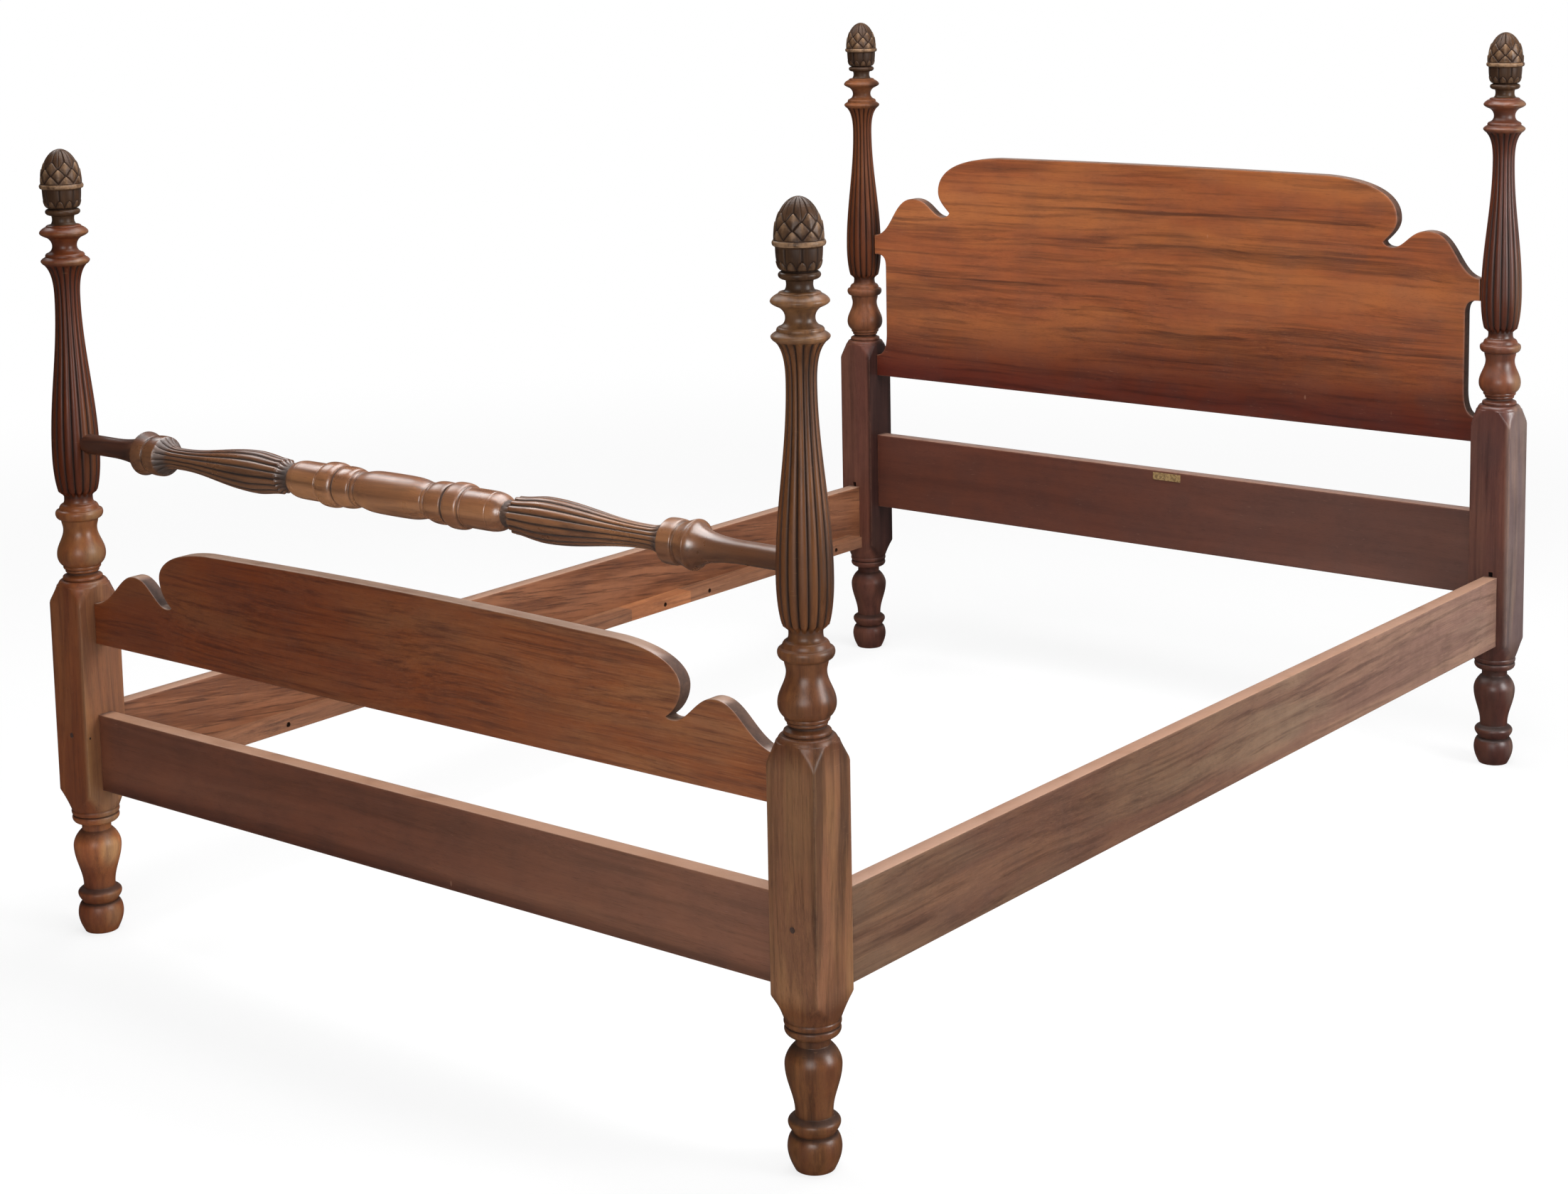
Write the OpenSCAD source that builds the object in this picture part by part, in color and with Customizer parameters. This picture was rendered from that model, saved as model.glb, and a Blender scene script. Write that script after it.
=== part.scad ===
// Low four-post bed: turned and reeded posts with carved finials, a shaped
// headboard and footboard, a turned blanket rail, and lift-off side rails.
// Millimetres. +X runs across the bed, +Y towards the head, +Z up, floor at 0.

/* [Bed] */
// Distance between the post centres across the bed
post_span = 1400; // [1000:10:1900]
// Distance between the post centres along the bed
post_run = 2007; // [1800:1:2200]
// How much taller the blocks of the head posts are
head_rise = 98; // [0:1:300]

/* [Posts] */
// Width of the square block
block_w = 74; // [74:1:90]
// Height of the lower block corners above the floor
block_low = 229; // [220:1:236]
// Length of the square block on a foot post
block_len = 292; // [288:1:330]
// Height of the turned shoulder below the block
shoulder_low = 33; // [26:1:38]
// Height of the turned shoulder above the block
shoulder_high = 36; // [25:1:45]
// Largest radius of the ball foot
foot_r = 34.3; // [30:0.1:36]
// Height of the ball foot
foot_h = 47; // [40:1:55]
// Largest radius of the leg vase
leg_r = 36.1; // [30:0.1:36.5]
// Largest radius of the vase above the block
vase_r = 36.3; // [35.5:0.1:36.8]
// Height of the vase above the block
vase_h = 115; // [109:1:130]
// Radius of the reeded bulb
bulb_r = 35.5; // [32:0.1:36.5]
// Smallest radius of the reeded shaft
shaft_r = 19; // [17:0.1:24]
// Height of the reeded shaft
shaft_h = 356; // [300:1:420]
// Radius of the rings under the finial
crown_r = 35.5; // [32:0.1:36.5]

/* [Finials] */
// Largest radius of the finial's bead
finial_r = 32.6; // [30.5:0.1:36]
// Height of the carved acorn above the bead
acorn_h = 51.5; // [40:0.5:65]
// Radius of the finial's dowel
dowel_r = 9; // [7:0.5:12]
// Length of the finial's dowel in the post
dowel_len = 32; // [20:1:38]

/* [Boards] */
// Thickness of the shaped boards
board_t = 22; // [18:1:26]
// Height of the headboard's lower edge
headboard_low = 585; // [574:1:592]
// Height of the headboard's crest
headboard_top = 1051; // [1046:1:1090]
// Height of the footboard's lower edge
footboard_low = 463; // [440:1:485]
// Height of the footboard's crest
footboard_top = 639; // [636:1:680]
// Width of the stepped shoulder at each end of both boards
board_step = 158; // [150:1:240]

/* [Rails] */
// Thickness of the head and foot rails
rail_t = 26; // [22:1:30]
// Height of the foot rail's lower edge
foot_rail_low = 232; // [226:1:250]
// Depth of the foot rail
foot_rail_h = 120; // [110:1:140]
// Height of the head rail's lower edge
head_rail_low = 308; // [280:1:330]
// Depth of the head rail
head_rail_h = 152; // [120:1:180]
// Thickness of the side rails
side_t = 25; // [22:1:30]
// Height of the side rails' lower edge
side_low = 224; // [218:1:232]
// Depth of the side rails
side_h = 126; // [124:1:150]
// Distance of the side rail's middle outside the post centre
side_shift = 5.5; // [0:0.5:8]

/* [Ledger strips] */
// Width of the ledger strip
ledger_d = 34; // [20:1:40]
// Height of the ledger strip
ledger_h = 22; // [18:1:30]
// Height of the ledger strip above the side rail's lower edge
ledger_up = 9; // [0:1:20]
// Distance of the ledger strip's ends from the rail's ends
ledger_inset = 40; // [20:1:80]
// Length of the short mended piece in the left ledger strip
patch_len = 171; // [120:1:250]
// Distance of the mended piece from the head end of the rail
patch_at = 590; // [450:1:700]
// Shank radius of the ledger screws
screw_r = 2.2; // [1.5:0.1:3]
// Head radius of the ledger screws
screw_head_r = 4; // [3:0.1:5]

/* [Blanket rail] */
// Height of the blanket rail's axis
blanket_z = 770.5; // [735:0.5:800]
// Radius of the plain rod at the posts
rod_r = 15; // [12:0.5:18]
// Largest radius of the blanket rail's reeded bulbs
swell_r = 30.6; // [27:0.1:34]
// Radius of the tenon turned on each end
rod_tenon_r = 10; // [8:0.5:12]

/* [Joints and hardware] */
// Length of the rail tenons
tenon_len = 46; // [36:1:50]
// Thickness of the rail and board tenons
tenon_t = 11; // [8:0.5:13]
// Length of the board tenons
board_tenon_len = 28; // [20:1:34]
// Clearance of wooden joints
fit_gap = 0.2; // [0.1:0.05:0.4]
// Width of the slot that takes a rail hook
slot_w = 7; // [6:0.5:9]
// Thickness of the steel rail hooks
hook_t = 3; // [2:0.25:4]
// How far the hooks reach into the post
hook_reach = 17; // [16:0.5:19]
// Radius of the catch pins
pin_r = 3; // [2.5:0.25:4]
// Radius of the wooden pegs
peg_r = 4; // [3:0.25:5]
// Radius of the hook rivets
rivet_r = 2.5; // [2:0.25:3]
// Width of the blank plate on the head rail
plate_w = 60; // [40:1:80]
// Height of the blank plate
plate_h = 14; // [10:1:20]
// Thickness of the blank plate
plate_t = 1; // [0.8:0.1:2]

/* [Hidden] */
$fn = 48;

steps = 8;                  // straight pieces in one curved stretch of an outline
half_span = post_span / 2;
half_run = post_run / 2;
half_block = block_w / 2;
corner_r = half_block * sqrt(2) + 1;
inner_x = half_span - half_block;        // face of the blocks that the cross rails meet
end_y = half_run - half_block;           // face of the blocks that the side rails meet

// Levels of a foot post, each worked out from the one below
ankle_low = foot_h + 1.5;
ankle_high = ankle_low + 22;
collar_low = block_low - shoulder_low - 26;
block_high = block_low + block_len;
neck_high = block_high + shoulder_high + 13;
vase_high = neck_high + vase_h;
shaft_high = vase_high + shaft_h;
post_high = shaft_high + 61;

// Radii that meet between two turned stretches of a post
foot_belly = 0.6;            // height of the ball foot's widest part, as a share
ankle_r = 24;
waist_r = 22.1;
neck_r = 22.4;
throat_r = 21.3;
flare_r = 31;                // top of the reeded shaft, under the crown

// Boards
crest_half = inner_x - board_step;       // half the width of a board's crest
bulb_level = 68;             // height of the bulb's widest part above the vase
ear_low = vase_high + head_rise + bulb_level - 12;
ear_high = ear_low + 39;
ear_x = half_span - bulb_r - 0.1;
waist_x = inner_x - 26;      // side of the headboard between its ear and its foot
board_foot = 43;             // height of the headboard where it meets the block

// Wooden joints
rail_tenon_trim = 10;        // shoulder of a rail tenon, at its top and bottom
board_tenon_trim = 5;
ear_tenon_len = 12;
rod_tenon_stop = 12;         // distance from the post's axis where the rod's bore ends
peg_z = foot_rail_low + 87;
peg_len = 47;
brad_y = -half_block + 6;    // the brads sit near the post's outer corner
brad_r = 1.7;
brad_len = 22;

// Side rails, their hooks and the pins that the hooks drop over
side_x = half_span + side_shift;         // middle plane of a side rail
side_len = 2 * (end_y - fit_gap);
slot_low = side_low + 20;
slot_high = side_low + side_h + 8;
catch_z = [side_low + 36, side_low + 100];
pin_setback = 9;             // distance of the catch pins behind the block's face
finger_h = 17;
hook_in_rail = 55;
hook_low = side_low + 24;
hook_h = 97;
rivet_z = [hook_low + 20, hook_low + hook_h - 20];
rivet_cover = 5;             // wood left between a rivet and the rail's outer face
rivet_sink = 1.5;            // depth of a rivet's end below the rail's inner face

// Ledger strips; the screws stand at shares of the rail's length from its head end
ledger_x = side_x - side_t / 2;
ledger_z = side_low + ledger_up;
ledger_len = side_len - 2 * ledger_inset;
screw_shares = [0.066, 0.276, 0.344, 0.5, 0.66, 0.833, 0.945];
screw_bite = 14;
head_sink = 9;               // depth of the pocket that hides a screw's head
head_joint_y = side_len / 2 - patch_at;
foot_joint_y = head_joint_y - patch_len;

// Blank plate, from the middle of the head rail outwards
plate_x = plate_w / 2;
plate_z = head_rail_low + head_rail_h - 11;
plate_front = half_run - rail_t / 2;
plate_pin_r = 0.9;

// ---------------------------------------------------------------- outlines
// Every outline point is [distance from the axis, height].
function mix(a, b, t) = a + (b - a) * t;

// A round bead from p to q that swells to the radius r between them
function bead(p, q, r) = [
    for (i = [0:steps * 2]) let (t = i / steps / 2, base = mix(p[0], q[0], t))
        [base + (r - mix(p[0], q[0], 0.5)) * sin(180 * t),
         mix(p[1], q[1], (1 - cos(180 * t)) / 2)]];

// A smooth S from p to q, upright at both ends
function ogee(p, q) = [
    for (i = [0:steps]) let (t = i / steps)
        [mix(p[0], q[0], (1 - cos(180 * t)) / 2), mix(p[1], q[1], t)]];

// A curve from p to q that leaves p upright and arrives level
function dome(p, q) = [
    for (i = [0:steps]) let (t = i / steps)
        [mix(q[0], p[0], cos(90 * t)), mix(p[1], q[1], sin(90 * t))]];

// A cubic curve with two handles
function curve(p, a, b, q, n = steps * 2) = [
    for (i = [0:n]) let (t = i / n, u = 1 - t)
        u * u * u * p + 3 * u * u * t * a + 3 * u * t * t * b + t * t * t * q];

// ---------------------------------------------------------------- posts
function foot_outline() = concat(
    [[0, 0]],
    curve([foot_r - 9, 0], [foot_r - 8, 3], [foot_r - 0.5, foot_h * foot_belly / 2],
          [foot_r, foot_h * foot_belly]),
    dome([foot_r, foot_h * foot_belly], [foot_r - 8, foot_h]),
    curve([27.3, ankle_low], [27.8, ankle_low + 3], [33.2, ankle_low + 7],
          [33.2, ankle_low + 13]),
    curve([33.2, ankle_low + 13], [33.2, ankle_low + 17], [29, ankle_low + 20],
          [ankle_r, ankle_high]),
    ogee([ankle_r - 0.1, ankle_high + 3], [leg_r, collar_low - 33]),
    curve([leg_r, collar_low - 33], [leg_r, collar_low - 23], [29, collar_low - 12],
          [waist_r, collar_low - 7]),
    [[waist_r, collar_low + 1.5], [23.8, collar_low + 2], [23.8, collar_low + 4]],
    bead([26.5, collar_low + 4.5], [33, collar_low + 17.5], 35.3),
    bead([33.2, collar_low + 18], [35.2, collar_low + 26], 36.2),
    curve([35.3, collar_low + 26.5], [39, collar_low + 33], [40, block_low - 15],
          [corner_r, block_low]));

function shoulder_outline(z) = let (top = z + shoulder_high) concat(
    curve([corner_r, z], [corner_r - 6, z + shoulder_high / 3], [40.5, top - 12],
          [39.5, top - 7]),
    bead([38, top - 6.5], [31.5, top + 1], 36.4),
    bead([29, top + 1.5], [28, top + 7.5], 29.9),
    [[24, top + 9.5], [neck_r, top + 11], [neck_r, top + 12.5]]);

function vase_outline(z) = concat(
    bead([24, z], [24.4, z + 4.5], 25.4),
    bead([26, z + 5], [27.5, z + 10], 28.2),
    curve([28.2, z + 10.5], [31, z + 12], [vase_r, z + 18], [vase_r, z + 27]),
    ogee([vase_r, z + 28], [25.2, z + 67]),
    ogee([25.2, z + 67], [27.6, z + 81.5]),
    bead([28.6, z + 82], [32.3, z + 96.5], 35.4),
    bead([30, z + 97.5], [24.4, z + 105.5], 28.8),
    curve([23.6, z + 106], [21.8, z + 108], [throat_r, z + 110], [throat_r, z + vase_h]));

function shaft_outline(z) = concat(
    curve([throat_r, z + 2], [throat_r + 0.6, z + 4.5], [26, z + 7], [29, z + 9.5]),
    curve([29, z + 9.5], [31.5, z + 17], [bulb_r, z + 37], [bulb_r, z + bulb_level]),
    ogee([bulb_r, z + bulb_level], [shaft_r, z + shaft_h * 0.86]),
    curve([shaft_r, z + shaft_h * 0.86], [shaft_r, z + shaft_h * 0.93],
          [22.5, z + shaft_h - 9], [flare_r, z + shaft_h]));

function crown_outline(z) = concat(
    bead([flare_r, z + 0.5], [30.5, z + 12], crown_r),
    bead([29.2, z + 12.5], [25, z + 18.5], 29.3),
    curve([23.5, z + 19.5], [16.6, z + 23], [16.2, z + 34], [23.5, z + 40]),
    bead([24.5, z + 41], [27.5, z + 57.5], crown_r),
    bead([25.5, z + 58], [20, post_high - shaft_high + z], 25.5),
    [[0, post_high - shaft_high + z]]);

function lathe_outline(rise) = concat(
    foot_outline(),
    shoulder_outline(block_high + rise),
    vase_outline(neck_high + rise),
    shaft_outline(vase_high + rise),
    crown_outline(shaft_high + rise));

// One post on its own axis; the inner faces are -X and +Y
module post_blank(rise) {
    intersection() {
        rotate_extrude() polygon(lathe_outline(rise));
        union() {
            translate([-half_block, -half_block, 0])
                cube([block_w, block_w, neck_high + rise]);
            translate([0, 0, neck_high + rise - 1])
                cylinder(r = block_w, h = post_high);
        }
    }
}

// A mortise cut from the -X side of the post, z from low to high
module cross_mortise(from_x, depth, low, high) {
    translate([from_x - 1, -tenon_t / 2 - fit_gap, low - fit_gap])
        cube([depth + fit_gap + 1, tenon_t + 2 * fit_gap, high - low + 2 * fit_gap]);
}

// Slot and cross holes for a rail hook, cut from the +Y side
module hook_slot() {
    translate([side_shift - slot_w / 2, half_block - hook_reach - 3, slot_low])
        cube([slot_w, hook_reach + 4, slot_high - slot_low]);
    for (z = catch_z)
        translate([-half_block - 1, half_block - pin_setback, z])
            rotate([0, 90, 0]) cylinder(r = pin_r, h = block_w + 2);
}

module finial_socket(rise) {
    translate([0, 0, post_high + rise - dowel_len - 2])
        cylinder(r = dowel_r + fit_gap, h = dowel_len + 4);
}

module foot_post() {
    color("saddlebrown") difference() {
        post_blank(0);
        cross_mortise(-half_block, tenon_len, foot_rail_low + rail_tenon_trim,
                      foot_rail_low + foot_rail_h - rail_tenon_trim);
        cross_mortise(-half_block, board_tenon_len, footboard_low + board_tenon_trim,
                      block_high - board_tenon_trim);
        translate([-block_w, 0, blanket_z]) rotate([0, 90, 0])
            cylinder(r = rod_tenon_r + fit_gap, h = block_w - rod_tenon_stop);
        hook_slot();
        finial_socket(0);
        translate([0, -half_block - 1, peg_z]) rotate([-90, 0, 0])
            cylinder(r = peg_r, h = peg_len + 1);
    }
}

module head_post() {
    color("sienna") difference() {
        post_blank(head_rise);
        mirror([0, 1, 0]) hook_slot();
        cross_mortise(-half_block, tenon_len, head_rail_low + rail_tenon_trim,
                      head_rail_low + head_rail_h - rail_tenon_trim);
        cross_mortise(-half_block, board_tenon_len, headboard_low + board_tenon_trim,
                      headboard_low + board_foot - board_tenon_trim);
        cross_mortise(-bulb_r, ear_tenon_len, ear_low + board_tenon_trim,
                      ear_high - board_tenon_trim);
        finial_socket(head_rise);
    }
}

module at_post(side, end) {
    translate([side * half_span, end * half_run, 0])
        mirror([side < 0 ? 1 : 0, 0, 0]) children();
}

// ---------------------------------------------------------------- finials
function finial_outline() = let (cup_z = 27, bead_z = cup_z + 29.5) concat(
    [[0, -dowel_len], [dowel_r, -dowel_len], [dowel_r, 0]],
    curve([19.8, 0], [16, 2], [15.6, 9], [17, 13]),
    bead([18.5, 14], [20.5, cup_z - 3], 25.8),
    curve([21, cup_z - 2], [26.5, cup_z - 1], [28.8, cup_z + 6], [29.2, bead_z - 3]),
    bead([29.4, bead_z - 2.5], [30, bead_z + 5], finial_r),
    dome([30.4, bead_z + 5.5], [0, bead_z + 5.5 + acorn_h]));

module finial() {
    color("dimgray") rotate_extrude() polygon(finial_outline());
}

// ---------------------------------------------------------------- boards
// Right half of each top edge, from the middle out to the post
function crest(top, drop, reach) = curve(
    [0, top], [reach * 0.45, top], [reach * 0.7, top - drop * 0.5], [reach, top - drop]);

function footboard_edge() = let (c = crest_half, z = footboard_top, x = inner_x) concat(
    crest(z, 5, c - 105),
    curve([c - 105, z - 5], [c - 35, z - 9], [c + 1, z - 29], [c + 1, z - 53]),
    curve([c + 1, z - 53], [c + 1, z - 69], [c - 9, z - 85], [c - 24, z - 95]),
    curve([c - 24, z - 95], [c - 18, z - 98], [c - 9, z - 98], [c, z - 94], steps),
    curve([c, z - 94], [c + 17, z - 85], [c + 33, z - 58.5], [c + 58, z - 58.5]),
    curve([c + 58, z - 58.5], [c + 97, z - 58.5], [x - 51, z - 108.5], [x, z - 113]));

function headboard_edge() = let (c = crest_half, z = headboard_top, x = ear_x) concat(
    crest(z, 2, c - 145),
    curve([c - 145, z - 2], [c - 65, z - 6], [c - 1, z - 26], [c - 1, z - 75]),
    curve([c - 1, z - 75], [c - 1, z - 93], [c - 15, z - 105], [c - 28, z - 117.5]),
    curve([c - 28, z - 117.5], [c - 26, z - 123], [c - 20, z - 126.5], [c - 11, z - 126.5], steps),
    curve([c - 11, z - 126.5], [c + 15, z - 126.5], [c + 23, z - 93], [c + 60, z - 93]),
    curve([c + 60, z - 93], [c + 114, z - 93], [x - 47, ear_high + 4], [x, ear_high]));

function headboard_side() = concat(
    curve([ear_x, ear_low], [ear_x - 24, ear_low + 1], [waist_x, ear_low - 9],
          [waist_x, ear_low - 28]),
    curve([waist_x, headboard_low + 94], [waist_x, headboard_low + 60],
          [inner_x - 19, headboard_low + board_foot + 3],
          [inner_x - fit_gap, headboard_low + board_foot]));

function mirrored(half) = [for (i = [len(half) - 1:-1:0]) [-half[i][0], half[i][1]]];
function whole(half) = concat(half, mirrored(half));

module board(outline, y) {
    translate([0, y + board_t / 2, 0]) rotate([90, 0, 0])
        linear_extrude(board_t) polygon(outline);
}

// A tenon on both ends of a cross piece, reaching from near to far
module tenons(near, far, y, low, high) {
    for (side = [-1, 1])
        translate([side > 0 ? near : -far, y - tenon_t / 2, low])
            cube([far - near, tenon_t, high - low]);
}

module headboard() {
    color("sienna") {
        board(whole(concat(headboard_edge(), headboard_side(),
                           [[inner_x - fit_gap, headboard_low]])), half_run);
        tenons(inner_x - 1, inner_x + board_tenon_len, half_run,
               headboard_low + board_tenon_trim,
               headboard_low + board_foot - board_tenon_trim);
        tenons(ear_x - 1, ear_x + ear_tenon_len, half_run,
               ear_low + board_tenon_trim, ear_high - board_tenon_trim);
    }
}

module footboard() {
    color("saddlebrown") {
        board(whole(concat(footboard_edge(), [[inner_x - fit_gap, footboard_low]])),
              -half_run);
        tenons(inner_x - 1, inner_x + board_tenon_len, -half_run,
               footboard_low + board_tenon_trim, block_high - board_tenon_trim);
    }
}

module cross_rail(y, low, height) {
    translate([-inner_x + fit_gap, y - rail_t / 2, low])
        cube([2 * (inner_x - fit_gap), rail_t, height]);
    tenons(inner_x - 1, inner_x + tenon_len, y,
           low + rail_tenon_trim, low + height - rail_tenon_trim);
}

module head_rail() {
    color("maroon") difference() {
        cross_rail(half_run, head_rail_low, head_rail_h);
        plate_pin_holes();
    }
}

module foot_rail() {
    color("saddlebrown") difference() {
        cross_rail(-half_run, foot_rail_low, foot_rail_h);
        for (side = [-1, 1])
            translate([side * half_span, -half_run - half_block - 1, peg_z])
                rotate([-90, 0, 0]) cylinder(r = peg_r, h = peg_len + 1);
    }
}

module rail_peg() {
    color("peru") translate([0, -half_block - 0.3, peg_z]) rotate([-90, 0, 0])
        cylinder(r = peg_r, h = peg_len);
}

// ---------------------------------------------------------------- blanket rail
// Right half of the turned rail as drawn for a half length of 664; here the height
// is the distance from the middle of the rail
function turned_half(s) = concat(
    ogee([s - 1.2, 0], [25.3, 62]),
    [[24, 66], [24, 70]],
    bead([24.8, 72], [25, 104], s - 2.2),
    [[24.4, 105], [24.4, 108]],
    curve([25, 109], [29, 112], [s + 1.2, 114], [s + 1.2, 122]),
    curve([s + 1.2, 122], [s + 1.2, 131], [28, 138], [26.3, 142]),
    ogee([26.2, 143], [25.4, 171]),
    [[24.2, 172], [24.2, 174]],
    bead([24.8, 175], [21, 200], s - 4.4),
    ogee([21, 200], [18.5, 206]),
    dome([18.5, 208], [25.5, 226]),
    ogee([25.5, 226], [s, 281]),
    ogee([s, 281], [16, 448]),
    curve([16, 456], [16, 474], [24, 481], [s - 1.8, 486]),
    bead([s - 1.6, 486.5], [28.4, 508], s - 0.8),
    [[27, 510], [27, 513]],
    curve([28, 514], [30, 520], [s + 1.4, 525], [s + 2, 530]),
    curve([s + 1.6, 533], [23, 538], [rod_r + 1, 556], [rod_r, 600]));

function blanket_outline() =
    let (tip = ear_x, tenon_tip = half_span - rod_tenon_stop - 1) concat(
    [[0, 0]],
    [for (p = turned_half(swell_r)) [p[0], p[1] * tip / 664]],
    [[rod_r, tip], [rod_tenon_r, tip], [rod_tenon_r, tenon_tip], [0, tenon_tip]]);

module blanket_rail() {
    color("saddlebrown") translate([0, -half_run, blanket_z])
        for (side = [0, 1])
            mirror([side, 0, 0]) rotate([0, 90, 0])
                rotate_extrude() polygon(blanket_outline());
}

// ---------------------------------------------------------------- side rails
module side_rail() {
    color("chocolate") difference() {
        translate([side_x - side_t / 2, -side_len / 2, side_low])
            cube([side_t, side_len, side_h]);
        for (end = [-1, 1]) at_rail_end(end) {
            translate([-hook_t / 2 - 0.2, -hook_in_rail - 0.2, hook_low - 0.2])
                cube([hook_t + 0.4, hook_in_rail + 1, hook_h + 0.4]);
            for (z = rivet_z)
                translate([-side_t / 2 - 1, -hook_in_rail / 2, z]) rotate([0, 90, 0])
                    cylinder(r = rivet_r, h = side_t - rivet_cover + 1);
        }
        ledger_screw_holes(screw_r);
    }
}

// Places children at an end of the right side rail, +Y pointing out of the rail
module at_rail_end(end) {
    translate([side_x, end * side_len / 2, 0])
        mirror([0, end < 0 ? 1 : 0, 0]) children();
}

// Steel plate with two claws that drop over the catch pins
module rail_hook() {
    color("slategray") rotate([90, 0, 90]) translate([0, 0, -hook_t / 2])
        linear_extrude(hook_t) difference() {
            union() {
                translate([-hook_in_rail, hook_low]) square([hook_in_rail, hook_h]);
                for (z = catch_z) polygon([
                    [-1, z - pin_r], [pin_setback - pin_r - 2, z - pin_r],
                    [pin_setback - pin_r - 2, z + pin_r + 1.5],
                    [pin_setback + pin_r + 1, z + pin_r + 1.5],
                    [pin_setback + pin_r + 1, z - pin_r - 3],
                    [hook_reach, z - pin_r - 1],
                    [hook_reach, z + finger_h - 6],
                    [hook_reach - 6, z + finger_h], [-1, z + finger_h]]);
            }
            for (z = rivet_z) translate([-hook_in_rail / 2, z]) circle(r = rivet_r);
        }
}

module hook_rivets() {
    color("gray") for (z = rivet_z)
        translate([-side_t / 2 + rivet_sink, -hook_in_rail / 2, z]) rotate([0, 90, 0])
            cylinder(r = rivet_r - 0.05, h = side_t - rivet_cover - rivet_sink - 0.3);
}

module catch_pins(end) {
    color("gray") for (z = catch_z)
        translate([-half_block + 2, -end * (half_block - pin_setback), z])
            rotate([0, 90, 0]) cylinder(r = pin_r - 0.1, h = block_w - 4);
}

// ---------------------------------------------------------------- ledger strips
function screw_y(share) = side_len * (0.5 - share);

// Countersunk shafts along X through the strip and into the rail
module ledger_screw_holes(r) {
    for (share = screw_shares)
        translate([ledger_x - ledger_d - 1, screw_y(share), ledger_z + ledger_h / 2])
            rotate([0, 90, 0]) cylinder(r = r, h = ledger_d + 1 + screw_bite);
}

module ledger_strip(from_y, to_y) {
    color("tan") difference() {
        translate([ledger_x - ledger_d, from_y, ledger_z])
            cube([ledger_d, to_y - from_y, ledger_h]);
        ledger_screw_holes(screw_r);
        for (share = screw_shares)
            translate([ledger_x - ledger_d - 1, screw_y(share),
                       ledger_z + ledger_h / 2])
                rotate([0, 90, 0]) cylinder(r = screw_head_r + 0.3, h = head_sink + 1);
    }
}

module ledger_screws() {
    color("dimgray") for (share = screw_shares)
        translate([ledger_x - ledger_d + head_sink, screw_y(share),
                   ledger_z + ledger_h / 2])
            rotate([0, -90, 0]) {
                cylinder(r1 = screw_head_r, r2 = screw_head_r - 0.4, h = 3);
                translate([0, 0, -(ledger_d - head_sink + screw_bite - 1)])
                    cylinder(r = screw_r - 0.05, h = ledger_d - head_sink + screw_bite);
            }
}

// ---------------------------------------------------------------- plate and pins
module at_plate_pins() {
    for (dx = [-1, 1])
        translate([plate_x + dx * (plate_w / 2 - 4), plate_front, plate_z])
            rotate([90, 0, 0]) children();
}

module plate_pin_holes() {
    at_plate_pins() translate([0, 0, -7]) cylinder(r = plate_pin_r, h = 8);
}

module blank_plate() {
    color("gold") difference() {
        translate([plate_x - plate_w / 2, plate_front - plate_t, plate_z - plate_h / 2])
            cube([plate_w, plate_t, plate_h]);
        at_plate_pins() translate([0, 0, -1]) cylinder(r = plate_pin_r, h = plate_t + 2);
    }
}

module plate_pins() {
    color("goldenrod") at_plate_pins() {
        translate([0, 0, -6.5]) cylinder(r = plate_pin_r - 0.05, h = plate_t + 6.7);
        translate([0, 0, plate_t]) cylinder(r = 1.6, h = 0.7);
    }
}

// Short steel brads in both side faces of the left foot post
module at_brads() {
    for (side = [0, 1]) mirror([side, 0, 0])
        translate([half_block, brad_y, peg_z]) rotate([0, -90, 0]) children();
}

module side_brads() {
    color("dimgray") at_brads()
        translate([0, 0, -0.3]) cylinder(r = brad_r - 0.05, h = brad_len);
}

module brad_holes() {
    at_brads() translate([0, 0, -1]) cylinder(r = brad_r, h = brad_len + 1);
}

// ---------------------------------------------------------------- assembly
at_post(-1, -1) difference() {  // foot_post_left
    foot_post();
    brad_holes();
}
at_post(1, -1) foot_post();  // foot_post_right
at_post(-1, 1) head_post();  // head_post_left
at_post(1, 1) head_post();  // head_post_right

at_post(-1, -1) translate([0, 0, post_high]) finial();  // foot_finial_left
at_post(1, -1) translate([0, 0, post_high]) finial();  // foot_finial_right
at_post(-1, 1) translate([0, 0, post_high + head_rise]) finial();  // head_finial_left
at_post(1, 1) translate([0, 0, post_high + head_rise]) finial();  // head_finial_right

headboard();
footboard();
head_rail();
foot_rail();
blanket_rail();

mirror([1, 0, 0]) side_rail();  // side_rail_left
side_rail();  // side_rail_right

mirror([1, 0, 0]) ledger_strip(-ledger_len / 2, foot_joint_y);  // ledger_left_foot
mirror([1, 0, 0]) ledger_strip(foot_joint_y, head_joint_y);  // ledger_left_patch
mirror([1, 0, 0]) ledger_strip(head_joint_y, ledger_len / 2);  // ledger_left_head
ledger_strip(-ledger_len / 2, ledger_len / 2);  // ledger_right
mirror([1, 0, 0]) ledger_screws();  // ledger_screws_left
ledger_screws();  // ledger_screws_right

mirror([1, 0, 0]) at_rail_end(-1) rail_hook();  // rail_hook_foot_left
at_rail_end(-1) rail_hook();  // rail_hook_foot_right
mirror([1, 0, 0]) at_rail_end(1) rail_hook();  // rail_hook_head_left
at_rail_end(1) rail_hook();  // rail_hook_head_right

mirror([1, 0, 0]) at_rail_end(-1) hook_rivets();  // hook_rivets_foot_left
at_rail_end(-1) hook_rivets();  // hook_rivets_foot_right
mirror([1, 0, 0]) at_rail_end(1) hook_rivets();  // hook_rivets_head_left
at_rail_end(1) hook_rivets();  // hook_rivets_head_right

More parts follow.
